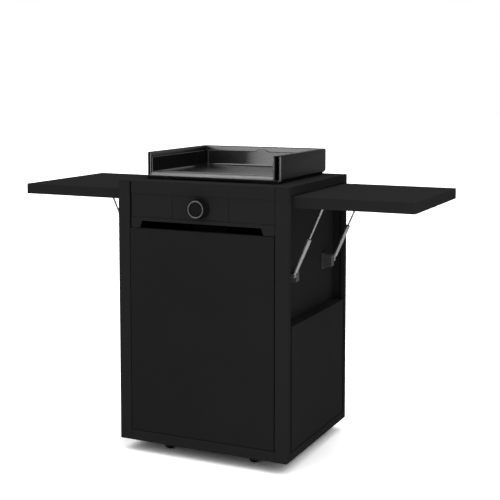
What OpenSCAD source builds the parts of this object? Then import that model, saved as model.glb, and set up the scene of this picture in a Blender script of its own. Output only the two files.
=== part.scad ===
// Electric griddle on a cart: a folded sheet steel cabinet on castors, with a lift-off
// griddle plate under a three-sided splash guard, and two side shelves on gas struts.
// Millimetres, +Z up, +Y to the back. The origin lies on the floor, under the middle.

/* [Cabinet] */
// Width of the cabinet across the front posts
body_w = 583; // [560:1:640]
// Depth of the cabinet from the front face to the back of the rear posts
body_d = 508; // [495:1:560]
// Height from the cabinet's bottom edge to the worktop
body_h = 835; // [800:1:880]
// Clearance between the floor and the cabinet's bottom edge
ground_gap = 38; // [34:1:60]
// Thickness of the folded sheet
sheet_t = 2; // [1.5:0.1:2.4]
// Corner radius of the posts and the worktop
edge_r = 3; // [2.5:0.1:5]
// Width of a front post seen from the front
post_w = 41.5; // [38:0.5:46]
// Width of a front post seen from the side
post_d = 27; // [24:0.5:32]
// Width of a rear post seen from the back
rear_post_w = 17.5; // [14:0.5:22]
// Width of a rear post seen from the side
rear_post_d = 15; // [13:0.5:20]
// Seam between neighbouring fixed sheets
seam = 0.5; // [0.3:0.1:1]
// Height of the inner shelf above the cabinet's bottom edge
inner_shelf_h = 300; // [180:5:420]
// Height of the inner shelf's folded lips
shelf_lip = 20; // [12:1:30]
// Distance of the cord gland from a rear post
gland_in = 74; // [50:1:120]
// Distance of the cord gland below the worktop
gland_drop = 169; // [140:1:240]
// Outer radius of the cord gland
gland_r = 10; // [8:0.5:12]
// Radius of the cord gland's bore
gland_bore = 5; // [3:0.5:6]

/* [Front] */
// Height of the worktop's front flange
front_flange_h = 39; // [34:1:46]
// Height of the fascia with the control panel
fascia_h = 75; // [70:1:82]
// Height of the rail with the finger slot
grip_rail_h = 33; // [28:1:38]
// Depth of that rail behind the front face
grip_rail_d = 26; // [24:0.5:26.5]
// Height of the finger slot
slot_h = 22; // [16:1:24]
// Distance of the finger slot's ends from the posts
slot_in = 37; // [34:1:70]
// How far the slot's ends lean in towards the top
slot_lean = 8; // [4:1:14]
// Radius of the slot's upper corners
slot_r = 4; // [2:0.5:6]
// Shadow gap between the left post and the front sheets
shadow_gap = 6.5; // [4:0.5:9]
// Width of the control panel
control_w = 195; // [170:1:220]
// Height of the bottom rail
bottom_rail_h = 33; // [30:1:40]
// Height of the sill under a side panel
sill_h = 25; // [20:1:28]
// Depth of the folded sides of a fascia panel
fascia_d = 16; // [12:0.5:20]

/* [Door] */
// Gap beside the door
door_gap = 2.4; // [2.3:0.1:4]
// Gap above and below the door
door_seam = 2; // [1.5:0.1:3]
// Depth of the folded door
door_t = 18; // [16:0.5:19]
// Pivot axis in from the door's edge
pivot_in = 13; // [12.5:0.5:15]
// Pivot axis behind the front face
pivot_back = 7.6; // [7.6:0.1:7.9]
// Radius of the pivot pins
pivot_r = 3; // [2.5:0.1:3.5]

/* [Side recess] */
// Depth of the recess in a side
recess_d = 48; // [46:0.5:52]
// Clearance under a folded shelf
ledge_gap = 9; // [5:0.5:14]
// How far a side panel stands behind the posts
panel_inset = 1.5; // [1:0.1:2.5]
// Width of the stepped border of a side panel
border_w = 13; // [10:0.5:18]
// Depth of the stepped border
border_d = 5; // [3:0.5:5.5]
// Height of the worktop's side flange
side_flange_h = 26; // [24:0.5:32]

/* [Shelves] */
// Reach of a shelf from the side of the cabinet
shelf_l = 376; // [360:1:382]
// Thickness of a shelf
shelf_t = 33; // [32:0.5:35]
// Clearance at each end of a shelf
shelf_gap = 3.5; // [3:0.1:5]
// Corner radius of a shelf
shelf_r = 5; // [3:0.5:9]
// Width of the returned edge under a shelf
return_w = 11; // [8:0.5:14]
// Hinge axis in from the side of the cabinet
hinge_in = 4; // [3.8:0.1:4.4]
// Radius of a shelf hinge's knuckles
knuckle_r = 4.5; // [4:0.1:4.6]
// Thickness of a hinge leaf
leaf_t = 2.5; // [2:0.1:3]
// Length of a shelf hinge
hinge_l = 66; // [48:3:84]
// Distance of the shelf hinges from the middle of the shelf
hinge_out = 105; // [80:1:110]

/* [Gas struts] */
// Distance of a strut from the middle of the shelf
strut_out = 170; // [166:0.5:174]
// Foot pivot in from the side of the cabinet
foot_in = 19; // [18:0.5:20]
// Foot pivot below the hinge axis
foot_drop = 245.5; // [240:0.5:252]
// Head pivot beyond the hinge axis
head_out = 87; // [82:0.5:90]
// Head pivot below the hinge axis
head_drop = 18; // [17:0.5:19]
// Radius of the strut's tube
tube_r = 7.5; // [7:0.1:8]
// Length from the foot pivot to the end of the tube
tube_l = 128; // [120:1:132]
// Radius of the strut's rod
rod_r = 3; // [2.5:0.1:4]
// Radius of the strut's end eyes
eye_r = 7.5; // [7:0.1:8]
// Thickness of the end eyes
eye_t = 11; // [9:0.5:12]
// Radius of the pivot studs
stud_r = 4; // [3:0.1:4.5]
// Height of a strut bracket
bracket_h = 46; // [40:1:52]
// Width of a strut bracket
bracket_w = 24; // [18:1:28]
// Gap from a strut bracket to the side plane
bracket_in = 13; // [11:0.5:14]

/* [Griddle] */
// Width across the splash guard
guard_w = 461; // [445:1:465]
// Distance of the splash guard from the front face
guard_back = 72; // [66:1:76]
// Distance of the splash guard from the back face
guard_rear = 32; // [28:1:38]
// Height of the splash guard's rim over the worktop
guard_top = 86.4; // [80:0.5:95]
// Thickness of the folded hollow wall
guard_wall = 18; // [15:0.5:20]
// Size of the clipped lower corners at the back of the guard
guard_clip = 14; // [6:0.5:18]
// Height of the griddle plate's rim over the worktop
plate_rim = 70.6; // [62:0.1:72]
// Height of the cooking surface over the worktop
plate_top = 20; // [19:0.5:23]
// Thickness of the cooking plate
plate_t = 6; // [5:0.5:6]
// Radius of the rounded front edge
nose_r = 13; // [12:0.5:14]
// Width of the slot under the front edge
front_slot_w = 275; // [240:1:300]
// Height of the slot under the front edge
front_slot_h = 3; // [2:0.5:4]
// Height of the housing's rim over the worktop
rim_h = 8; // [7:0.1:8]
// How far the housing's rim lies inside the guard
rim_in = 10.5; // [9:0.5:12]
// Depth of the housing below the worktop
housing_h = 110; // [100:1:112]
// Thickness of the housing's sheet
housing_t = 1.5; // [1:0.1:2]
// Radius of the heating element
element_r = 4; // [3:0.1:4]
// Distance between two runs of the element
element_pitch = 60; // [52:1:62]
// Number of runs of the element
element_runs = 6; // [4:2:6]
// Height of the drip cup
cup_h = 42; // [30:1:46]
// Depth of the drip cup from front to back
cup_l = 130; // [90:1:140]
// How far the drip cup hangs below the housing
cup_drop = 31; // [26:1:40]
// Distance of the drip cup's front from the spout's axis
cup_front = 44; // [30:1:46]
// Width of the drip cup
cup_w = 120; // [90:1:130]
// Width of the rims that the cup hangs by
cup_lip = 10; // [8:0.5:12]
// How far the cup's runners reach out in front of it
runner_out = 22; // [10:1:24]

/* [Knob] */
// Radius of the knob
knob_r = 27.5; // [24:0.5:30]
// Radius of the skirt at the knob's foot
skirt_r = 32; // [30:0.5:34]
// Depth of that skirt
skirt_d = 8; // [5:0.5:10]
// How far the knob stands out from the front face
knob_out = 30; // [26:0.5:34]
// Width of the knob's bright ring
ring_w = 4; // [3:0.1:5]
// Radius of the knob's spindle
spindle_r = 3; // [2.5:0.1:4]

/* [Castors] */
// Radius of a castor's wheel
wheel_r = 25; // [24:0.5:26]
// Width of a castor's wheel
wheel_w = 20; // [16:0.5:22]
// Distance of the castors from the middle of the cart
castor_out = 150; // [130:1:190]
// Distance of the castors from the front and back faces
castor_in = 95; // [85:1:110]
// Trail of the wheel behind the kingpin
trail = 20; // [18:0.5:22]
// Radius of the kingpin and of the axle
axle_r = 4; // [3.5:0.1:4.2]

/* [Fits] */
// Radial clearance of a turning pin in its bore
fit = 0.05; // [0.03:0.01:0.08]
// Clearance between parts that pass each other
clear = 0.3; // [0.3:0.1:0.5]

/* [Hidden] */
$fn = 48;

// Cabinet planes
half_w = body_w / 2;
front_y = (knob_out - body_d) / 2;
back_y = front_y + body_d;
bottom_z = ground_gap;
top_z = bottom_z + body_h;
floor_z = bottom_z + bottom_rail_h;
deck_z = top_z - sheet_t;
post_x = half_w - post_w;
rear_post_x = half_w - rear_post_w;
front_x = post_x - shadow_gap;
front_end = post_x - seam;
recess_front = front_y + post_d;
recess_back = back_y - rear_post_d;
recess_mid = (recess_front + recess_back) / 2;
wall_x = half_w - recess_d;
back_panel_y = back_y - rear_post_d / 2 - sheet_t / 2;
flange_z = top_z - front_flange_h;
fascia_z = flange_z - fascia_h;
grip_z = fascia_z - grip_rail_h;
fascia_lap = 4;
slot_half = post_x - slot_in;
inner_shelf_z = bottom_z + inner_shelf_h;
gland_x = rear_post_x - gland_in;
gland_z = top_z - gland_drop;

// Shelf and hinge
hinge_x = half_w - hinge_in;
hinge_z = top_z - side_flange_h - leaf_t - knuckle_r;
shelf_cover = knuckle_r - 1;
shelf_z = hinge_z + shelf_cover;
shelf_x0 = hinge_x + knuckle_r + fit + 0.5;
shelf_x1 = half_w + shelf_l + 1;
shelf_y0 = recess_front + shelf_gap;
shelf_y1 = recess_back - shelf_gap;
ledge_z = hinge_z - (shelf_x1 - hinge_x) - ledge_gap;
hinge_pin_r = knuckle_r - 2;
side_return = 26;

// Gas strut geometry, in the plane of a strut
foot_x = half_w - foot_in;
foot_z = hinge_z - foot_drop;
head_x = hinge_x + head_out;
head_z = hinge_z - head_drop;
strut_l = norm([head_x - foot_x, head_z - foot_z]);
strut_lean = atan2(head_x - foot_x, head_z - foot_z);
folded_l = norm([hinge_x - head_drop - foot_x, hinge_z - head_out - foot_z]);
piston_h = 6;
foot_cap = eye_r + 8;

// Door
door_x = post_x - door_gap;
door_z0 = floor_z + door_seam;
door_z1 = grip_z - door_seam;
pivot_x = -door_x + pivot_in;
pivot_y = front_y + pivot_back;
bush_r = pivot_r + 2.5;
bush_h = 6;
catch_w = 24;
catch_h = 20;
strike_t = 1.5;

// Griddle
guard_x = guard_w / 2;
guard_y0 = front_y + guard_back;
guard_y1 = back_y - guard_rear;
guard_t = 2;
guard_r = 12;
rest_z = top_z + rim_h + 4.3;
plate_x = guard_x - guard_wall - clear;
plate_y1 = guard_y1 - guard_wall - clear;
plate_wall = 2.5;
rim_x = guard_x - rim_in;
rim_y0 = guard_y0 + rim_in - 4;
rim_y1 = guard_y1 - rim_in;
tub_x = rim_x - 12;
tub_y0 = guard_y0 + 12;
tub_y1 = guard_y1 - 12;
tub_z = top_z - housing_h;
spout_y = guard_y0 + 34;
spout_r = 12;
spout_t = 2;
runner_z = tub_z - cup_drop;
cup_y0 = spout_y - cup_front;
cup_rim_z = runner_z + 1.5 + clear;
cup_half = cup_w / 2;
terminal_x = tub_x - 43;
capillary_x = -element_pitch;
capillary_y = tub_y0 + 20;
capillary_z = top_z - 40;
tray_z = top_z - 12;
element_z = top_z + plate_top - plate_t - 1 - element_r;
hollow_y0 = guard_y0 + 2 * nose_r + 4;
hollow_y1 = plate_y1 - 8;
element_turn = element_pitch / 2 + element_r;
element_y0 = hollow_y0 + 29 + element_turn;
element_y1 = hollow_y1 - 3 - element_turn;

// Knob
knob_z = fascia_z + fascia_h / 2;
knob_back = front_y + sheet_t - 0.6;
knob_front = front_y - knob_out;
dial_r = knob_r - ring_w;

// Castors
castor_h = floor_z - sheet_t;
plate_under = castor_h - 3;
fork_top = plate_under - 0.5;
fork_cap = 7;
leg_x = wheel_w / 2 + 2;
leg_t = 2;
pedal_pin_r = 2.5;
pedal_y = -trail - 14;
pedal_z = wheel_r + 27;

// A block between two corners
module block(x0, x1, y0, y1, z0, z1) {
    translate([x0, y0, z0])
        cube([x1 - x0, y1 - y0, z1 - z0]);
}

// The same shape on the right and, mirrored, on the left
module both_sides() {
    children();
    mirror([1, 0, 0])
        children();
}

// A rectangle with round corners, between two corners of the plan
module round_plan(x0, x1, y0, y1, r) {
    translate([x0 + r, y0])
        square([x1 - x0 - 2 * r, y1 - y0]);
    translate([x0, y0 + r])
        square([x1 - x0, y1 - y0 - 2 * r]);
    for (x = [x0 + r, x1 - r], y = [y0 + r, y1 - r])
        translate([x, y])
            circle(r);
}

// A hollow folded post between two corners
module post(x0, x1, y0, y1) {
    translate([0, 0, bottom_z])
        linear_extrude(deck_z - bottom_z)
            difference() {
                round_plan(x0, x1, y0, y1, edge_r);
                round_plan(x0 + sheet_t, x1 - sheet_t, y0 + sheet_t, y1 - sheet_t,
                           edge_r - sheet_t + 0.5);
            }
}

// A cylinder along X, Y or Z, from one end to the other
module rod_x(x0, x1, r) {
    translate([x0, 0, 0])
        rotate([0, 90, 0])
            cylinder(h = x1 - x0, r = r);
}

module rod_y(y0, y1, r) {
    translate([0, y1, 0])
        rotate([90, 0, 0])
            cylinder(h = y1 - y0, r = r);
}

// A round bar from point a to point b
module bar(a, b, r) {
    d = b - a;
    translate(a)
        rotate([0, atan2(norm([d.x, d.y]), d.z), atan2(d.y, d.x)])
            cylinder(h = norm(d), r = r, $fn = 24);
}

// Floor of the cabinet, with the front rail, the rear rail and the two side sills
module base_tray() {
    color([0.14, 0.14, 0.14]) {
        block(-post_x, post_x, front_y, recess_front, floor_z - sheet_t, floor_z);
        block(-half_w + 12, half_w - 12, recess_front, recess_back, floor_z - sheet_t, floor_z);
        block(-rear_post_x, rear_post_x, recess_back, back_y, floor_z - sheet_t, floor_z);
        block(-post_x, post_x, front_y, front_y + sheet_t, bottom_z, floor_z);
        block(-rear_post_x + seam, rear_post_x - seam, back_y - sheet_t, back_y, bottom_z, floor_z);
        both_sides() {
            y0 = recess_front + seam;
            y1 = recess_back - seam;
            block(half_w - 12, half_w - 12 + sheet_t, y0, y1, bottom_z, floor_z);
            block(half_w - 12, half_w, y0, y1, bottom_z, bottom_z + sheet_t);
            block(half_w - sheet_t, half_w, y0, y1, bottom_z, bottom_z + sill_h);
        }
    }
}

module front_posts() {
    color([0.15, 0.15, 0.15])
        both_sides()
            post(post_x, half_w, front_y, recess_front);
}

module rear_posts() {
    color([0.13, 0.13, 0.13])
        both_sides()
            post(rear_post_x, half_w, recess_back, back_y);
}

// Side of the cabinet: a stepped lower panel, the ledge, and the recess for the folded shelf
module side_panel_right() {
    skin_x = half_w - panel_inset;
    border_x = skin_x - border_d;
    y0 = recess_front + border_w;
    y1 = recess_back - border_w;
    z0 = bottom_z + sill_h + 2;
    z1 = ledge_z - sheet_t;
    wall_back = back_panel_y;
    color([0.13, 0.13, 0.13]) {
        block(wall_x, wall_x + sheet_t, recess_front, wall_back, z1, deck_z);
        block(wall_x, half_w - sheet_t - seam, recess_front, recess_front + sheet_t,
              z1, top_z - side_flange_h - seam);
        block(wall_x, rear_post_x, wall_back - sheet_t, wall_back, z1, deck_z);
        block(wall_x, skin_x, recess_front, recess_back, z1, ledge_z);
        block(wall_x, rear_post_x, recess_back, wall_back, z1, ledge_z);
        difference() {
            block(border_x - sheet_t, border_x, recess_front, recess_back, bottom_z + 4, ledge_z);
            block(border_x - 9, border_x + 9, y0 + sheet_t, y1 - sheet_t, z0 + sheet_t, z1 - 1);
        }
        difference() {
            block(border_x - sheet_t, skin_x, y0, y1, z0, ledge_z);
            block(border_x - 9, skin_x - sheet_t, y0 + sheet_t, y1 - sheet_t, z0 + sheet_t, z1 - 1);
        }
    }
}

module side_panel_left() {
    mirror([1, 0, 0])
        side_panel_right();
}

// Back of the cabinet, with two columns of vent slots and the hole of the gland
module back_panel() {
    slot_l = 70;
    slot_r_vent = 2.5;
    color([0.12, 0.12, 0.12])
        difference() {
            block(-rear_post_x, rear_post_x, back_panel_y, back_panel_y + sheet_t, floor_z, deck_z);
            for (x = [-90, 90], row = [0 : 7])
                translate([x, back_panel_y - 1, flange_z - 60 - 14 * row])
                    for (end = [-1, 1])
                        translate([end * slot_l / 2, 0, 0])
                            rod_y(0, sheet_t + 2, slot_r_vent);
            for (x = [-90, 90], row = [0 : 7])
                block(x - slot_l / 2, x + slot_l / 2, back_panel_y - 1, back_panel_y + sheet_t + 1,
                      flange_z - 60 - 14 * row - slot_r_vent, flange_z - 60 - 14 * row + slot_r_vent);
            translate([gland_x, 0, gland_z])
                rod_y(back_panel_y - 1, back_panel_y + sheet_t + 1, gland_r);
        }
}

// Top sheet with its front, side and rear flanges and the cut-out for the griddle
module worktop() {
    color([0.17, 0.17, 0.17]) {
        difference() {
            translate([0, 0, deck_z])
                linear_extrude(sheet_t)
                    round_plan(-half_w, half_w, front_y, back_y, edge_r);
            block(-tub_x - 1.5, tub_x + 1.5, tub_y0 - 1.5, tub_y1 + 1.5, deck_z - 1, top_z + 1);
        }
        block(-front_x, front_end, front_y, front_y + sheet_t, flange_z, deck_z);
        block(-rear_post_x + seam, rear_post_x - seam, back_panel_y + sheet_t,
              back_panel_y + 2 * sheet_t, top_z - side_flange_h, deck_z);
        both_sides() {
            y0 = recess_front + sheet_t + seam;
            y1 = recess_back - seam;
            z0 = top_z - side_flange_h;
            block(half_w - sheet_t, half_w, recess_front + seam, y1, z0, deck_z);
            block(half_w - side_return, half_w, y0, y1, z0, z0 + sheet_t);
        }
    }
}

// Rail above the door, with the long slot that the fingers reach through
module grip_rail() {
    z1 = fascia_z;
    color([0.15, 0.15, 0.15])
        difference() {
            union() {
                block(-front_x, front_end, front_y, front_y + sheet_t, grip_z, z1);
                block(-front_x, front_end, front_y, front_y + grip_rail_d, z1 - sheet_t, z1);
                block(-post_x, post_x, front_y + 12, front_y + grip_rail_d, z1 - sheet_t, z1);
                block(-front_x, front_end, front_y + grip_rail_d - sheet_t, front_y + grip_rail_d,
                      grip_z + slot_h - 4, z1);
                both_sides()
                    block(slot_half + seam, post_x, front_y + 12, front_y + grip_rail_d,
                          grip_z, grip_z + sheet_t);
                block(slot_half + seam, front_end, front_y, front_y + 12, grip_z, grip_z + sheet_t);
                block(-front_x, -slot_half - seam, front_y, front_y + 12, grip_z, grip_z + sheet_t);
            }
            translate([0, front_y + sheet_t + 1, grip_z])
                rotate([90, 0, 0])
                    linear_extrude(sheet_t + 2)
                        slot_outline();
            translate([pivot_x, pivot_y, grip_z - 1])
                cylinder(h = sheet_t + 2, r = pivot_r);
        }
}

// Outline of the finger slot: slanted ends with round upper corners
module slot_outline() {
    top_half = slot_half - slot_lean;
    polygon([[-slot_half, -1], [slot_half, -1], [slot_half, 0],
             [top_half + slot_r * 0.36, slot_h - slot_r],
             [-top_half - slot_r * 0.36, slot_h - slot_r], [-slot_half, 0]]);
    translate([-top_half + slot_r * 0.64, slot_h - slot_r - 1])
        square([2 * (top_half - slot_r * 0.64), slot_r + 1]);
    for (side = [-1, 1])
        translate([side * (top_half - slot_r * 0.64), slot_h - slot_r])
            circle(slot_r);
}

// Plain fascia panel beside the control panel, folded back at its ends and below
module fascia(x1) {
    x0 = control_w / 2 + seam;
    y = front_y + sheet_t;
    color([0.14, 0.14, 0.14]) {
        block(x0, x1, y, y + sheet_t, fascia_z, flange_z + fascia_lap);
        block(x0, x1, y, y + fascia_d, fascia_z, fascia_z + sheet_t);
        block(x0, x0 + sheet_t, y, y + fascia_d, fascia_z, flange_z + fascia_lap);
        block(x1 - sheet_t, x1, y, y + fascia_d, fascia_z, flange_z + fascia_lap);
    }
}

module fascia_right() {
    fascia(front_end);
}

module fascia_left() {
    mirror([1, 0, 0])
        fascia(front_x);
}

// Loose storage shelf inside the cabinet
module inner_shelf() {
    x = half_w - panel_inset - border_d - sheet_t;
    y0 = recess_front + 8;
    y1 = recess_back - 4;
    z = inner_shelf_z;
    color([0.16, 0.16, 0.16]) {
        block(-x, x, y0, y1, z - sheet_t, z);
        block(-x, x, y0, y0 + sheet_t, z - shelf_lip, z);
        block(-x, x, y1 - sheet_t, y1, z - shelf_lip, z);
    }
}

// Fixed halves of the four shelf hinges, each with its two outer knuckles and its pin
module shelf_hinges() {
    third = hinge_l / 3;
    color([0.25, 0.25, 0.26])
        both_sides()
            for (side = [-1, 1])
                translate([0, recess_mid + side * hinge_out, 0]) {
                    block(half_w - side_return, hinge_x, -hinge_l / 2, hinge_l / 2,
                          hinge_z + knuckle_r, hinge_z + knuckle_r + leaf_t);
                    for (end = [-1, 1])
                        translate([hinge_x, end * third, hinge_z])
                            rod_y(-third / 2 + clear, third / 2, knuckle_r);
                    for (end = [-1, 1])
                        block(hinge_x - 3, hinge_x, end * third - third / 2 + clear,
                              end * third + third / 2, hinge_z + knuckle_r - 1, hinge_z + knuckle_r);
                    translate([hinge_x, 0, hinge_z])
                        rod_y(-third, third, hinge_pin_r);
                }
}

// Moulded brackets in the recess, each with the stud that carries a strut's foot
module strut_brackets() {
    x1 = half_w - bracket_in;
    z0 = foot_z - bracket_h + 20;
    inner = strut_out - eye_t / 2 - 2;
    color([0.3, 0.3, 0.31])
        both_sides()
            for (side = [-1, 1])
                translate([0, recess_mid, 0])
                    mirror([0, side < 0 ? 1 : 0, 0]) {
                        translate([0, inner, 0])
                            rotate([90, 0, 0])
                                linear_extrude(bracket_w)
                                    bracket_outline(wall_x + sheet_t, x1, z0, z0 + bracket_h);
                        block(wall_x + sheet_t, wall_x + sheet_t + 3, inner - bracket_w - 5, inner + 5,
                              z0 - 3, z0 + bracket_h + 3);
                        translate([foot_x, 0, foot_z])
                            rod_y(inner - 4, strut_out + eye_t / 2 + 1, stud_r);
                        translate([foot_x, 0, foot_z])
                            rod_y(strut_out + eye_t / 2 + clear, strut_out + eye_t / 2 + 2, stud_r + 1.5);
                    }
}

// Side view of a strut bracket: square with a slanted lower edge and round outer corners
module bracket_outline(x0, x1, z0, z1) {
    r = 4;
    polygon([[x0, z0], [x1 - r, z0 + 5], [x1, z0 + 5 + r], [x1, z1 - r], [x1 - r, z1], [x0, z1]]);
    for (z = [z0 + 5 + r, z1 - r])
        translate([x1 - r, z])
            circle(r);
}

// Upper and lower pins that the door turns on
module door_pivots() {
    color([0.6, 0.6, 0.6])
        translate([pivot_x, pivot_y, 0]) {
            translate([0, 0, door_z1 - bush_h])
                cylinder(h = grip_z + sheet_t + 2 - door_z1 + bush_h, r = pivot_r);
            translate([0, 0, grip_z + sheet_t])
                cylinder(h = 2, r = pivot_r + 2);
            translate([0, 0, floor_z])
                cylinder(h = door_seam + bush_h, r = pivot_r);
            translate([0, 0, floor_z])
                cylinder(h = 1.2, r = pivot_r + 3);
        }
}

// Magnetic catch under the end of the grip rail
module door_magnet() {
    x0 = slot_half + seam;
    y0 = front_y + door_t + strike_t + clear;
    color([0.2, 0.2, 0.2])
        difference() {
            block(x0, x0 + catch_w, y0, y0 + 18, grip_z - catch_h, grip_z);
            block(x0 + 4, x0 + catch_w - 4, y0 + 9, y0 + 19, grip_z - catch_h + 4, grip_z - 4);
        }
}

// Places one castor at each corner by its signs in X and Y
module at_castor(sx, sy) {
    y = sy < 0 ? front_y + castor_in : back_y - castor_in;
    translate([sx * castor_out, y, 0])
        children();
}

// Mounting plates of the four castors, each with its kingpin
module castor_plates() {
    color([0.62, 0.62, 0.62])
        for (sx = [-1, 1], sy = [-1, 1])
            at_castor(sx, sy) {
                block(-30, 30, -25, 25, plate_under, castor_h);
                translate([0, 0, fork_top - fork_cap - 2])
                    cylinder(h = fork_cap + 3, r = axle_r);
                translate([0, 0, fork_top - fork_cap - clear - 2.5])
                    cylinder(h = 2.5, r = axle_r + 3);
            }
}

// Cable gland in the back panel, without its cord
module cord_gland() {
    color([0.08, 0.08, 0.08])
        translate([gland_x, back_panel_y, gland_z])
            rotate([-90, 0, 0])
                difference() {
                    union() {
                        translate([0, 0, -14])
                            cylinder(h = sheet_t + 18, r = gland_r);
                        translate([0, 0, sheet_t])
                            cylinder(h = 4, r = gland_r + 4);
                        translate([0, 0, -6])
                            cylinder(h = 6, r = gland_r + 4, $fn = 6);
                    }
                    translate([0, 0, -15])
                        cylinder(h = sheet_t + 20, r = gland_bore);
                }
}

// Two columns of screws that hold the back panel
module back_screws() {
    y = back_panel_y + sheet_t;
    x = rear_post_x - 10;
    z0 = floor_z + 16;
    z1 = top_z - side_flange_h - 14;
    rows = 4;
    color([0.5, 0.5, 0.5])
        for (sx = [-1, 1], row = [0 : rows - 1])
            translate([sx * x, 0, z0 + (z1 - z0) * row / (rows - 1)])
                difference() {
                    rod_y(y, y + 2.4, 4.5);
                    rod_y(y + 1.2, y + 3, 1.6, $fn = 6);
                }
}

// Sheet housing of the griddle, which hangs in the worktop by its hollow rim
module griddle_housing() {
    t = housing_t;
    rim_z = top_z + rim_h;
    color([0.1, 0.1, 0.1])
        difference() {
            union() {
                block(-tub_x, tub_x, tub_y0, tub_y1, tub_z, rim_z);
                block(-rim_x, rim_x, rim_y0, rim_y1, top_z, rim_z);
            }
            block(-tub_x + t, tub_x - t, tub_y0 + t, tub_y1 - t, tub_z + t, rim_z + 1);
            difference() {
                block(-rim_x + t, rim_x - t, rim_y0 + t, rim_y1 - t, top_z - 1, rim_z - t);
                block(-tub_x, tub_x, tub_y0, tub_y1, top_z - 2, rim_z);
            }
            block(-front_slot_w / 2, front_slot_w / 2, rim_y0 - 1, rim_y0 + t + 1,
                  top_z - 1, top_z + front_slot_h);
            translate([0, spout_y, tub_z - 1])
                cylinder(h = t + 2, r = spout_r + 5);
            translate([capillary_x, 0, capillary_z])
                rod_y(tub_y0 - 1, tub_y0 + t + 1, 3);
            translate([terminal_x, 0, top_z - 70])
                rod_y(tub_y1 - t - 1, tub_y1 + 1, 8);
        }
}

// Control panel of the griddle, with the two arms that join it to the housing
module control_panel() {
    x = control_w / 2 - seam;
    y = front_y + sheet_t;
    color([0.14, 0.14, 0.14])
        difference() {
            union() {
                block(-x, x, y, y + sheet_t, fascia_z, flange_z + fascia_lap);
                both_sides()
                    block(x - sheet_t, x, y, tub_y0, tub_z + 4, flange_z - 8);
            }
            translate([0, 0, knob_z])
                rod_y(y - 1, y + sheet_t + 1, 7);
        }
}

// Bright tray under the element, with the two ribs that the element lies on
module reflector_tray() {
    x = tub_x - housing_t;
    y0 = tub_y0 + housing_t;
    y1 = tub_y1 - housing_t;
    color([0.75, 0.75, 0.74])
        difference() {
            union() {
                block(-x, x, y0, y1, tray_z, tray_z + 1.2);
                both_sides()
                    block(x - 1.2, x, y0, y1, tray_z, tray_z + 8);
                for (y = [element_y0 + 20, element_y1 - 60])
                    block(-x, x, y, y + 2, tray_z, element_z - element_r);
            }
            translate([0, spout_y, tray_z - 1])
                cylinder(h = 4, r = spout_r + 4);
            translate([capillary_x, capillary_y, tray_z - 1])
                cylinder(h = 4, r = 3);
        }
}

// Sheathed heating element: straight runs joined by half turns, with cold ends at the back
module heating_element() {
    half = (element_runs - 1) * element_pitch / 2;
    color([0.35, 0.33, 0.3])
        translate([0, 0, element_z]) {
            for (i = [0 : element_runs - 1])
                translate([i * element_pitch - half, 0, 0])
                    rod_y(element_y0, element_y1, element_r);
            for (i = [0 : element_runs - 2])
                translate([(i + 0.5) * element_pitch - half, i % 2 == 0 ? element_y0 : element_y1, 0])
                    rotate([0, 0, i % 2 == 0 ? 180 : 0])
                        rotate_extrude(angle = 180)
                            translate([element_pitch / 2, 0])
                                circle(element_r, $fn = 24);
            for (side = [-1, 1])
                translate([side * half, 0, 0])
                    rod_y(element_y1, element_y1 + 24, 2);
        }
}

// Thermostat behind the control panel, bored for the spindle
module thermostat() {
    y0 = front_y + 2 * sheet_t;
    color([0.8, 0.78, 0.7])
        translate([0, 0, knob_z])
            difference() {
                union() {
                    block(-20, 20, y0, y0 + 26, -20, 20);
                    rod_y(y0 - sheet_t, y0, 7 - clear);
                    for (side = [-1, 1])
                        block(side * 12 - 3, side * 12 + 3, y0 + 26, y0 + 33, -12, -6);
                }
                rod_y(y0 - sheet_t - 1, y0 + 14, spindle_r + fit);
            }
}

// Sensor bulb between two runs of the element, and the capillary to the thermostat
module sensor_bulb() {
    x = capillary_x;
    z = capillary_z;
    bulb_y = element_y0 + element_pitch / 2;
    route = [[x, bulb_y, element_z], [x, capillary_y + 51, element_z - 4], [x, capillary_y, top_z - 5],
             [x, capillary_y, z + 8], [x, tub_y0 + 12, z], [x, tub_y0 - 12, z],
             [-10, front_y + 2 * sheet_t + 34, knob_z + 14],
             [-10, front_y + 2 * sheet_t + 26, knob_z + 10]];
    color([0.72, 0.45, 0.25]) {
        translate([x, 0, element_z])
            rod_y(bulb_y, bulb_y + 90, 3);
        for (i = [0 : len(route) - 2])
            bar(route[i], route[i + 1], 1);
        for (i = [1 : len(route) - 2])
            translate(route[i])
                sphere(1.3, $fn = 24);
    }
}

// Terminal block on the bottom of the housing
module terminal_block() {
    x0 = terminal_x - 25;
    y1 = tub_y1 - housing_t;
    z0 = tub_z + housing_t;
    color([0.85, 0.83, 0.75])
        difference() {
            block(x0, x0 + 50, y1 - 22, y1, z0, z0 + 20);
            for (i = [0 : 2])
                translate([x0 + 10 + 15 * i, y1 - 11, z0 + 8])
                    cylinder(h = 13, r = 3);
        }
}

// Two runners under the housing that carry the drip cup by its rims
module cup_runners() {
    z0 = runner_z;
    y0 = cup_y0 - runner_out;
    y1 = cup_y0 + cup_l + 2;
    x1 = cup_half + cup_lip + 2.5;
    color([0.5, 0.5, 0.5])
        both_sides() {
            block(x1 - 1.5, x1, tub_y0, y1, z0, tub_z);
            block(cup_half + 3, x1, y0, y1, z0, z0 + 1.5);
            block(x1 - 1.5, x1, y0, tub_y0, z0, z0 + 8);
        }
}

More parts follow.
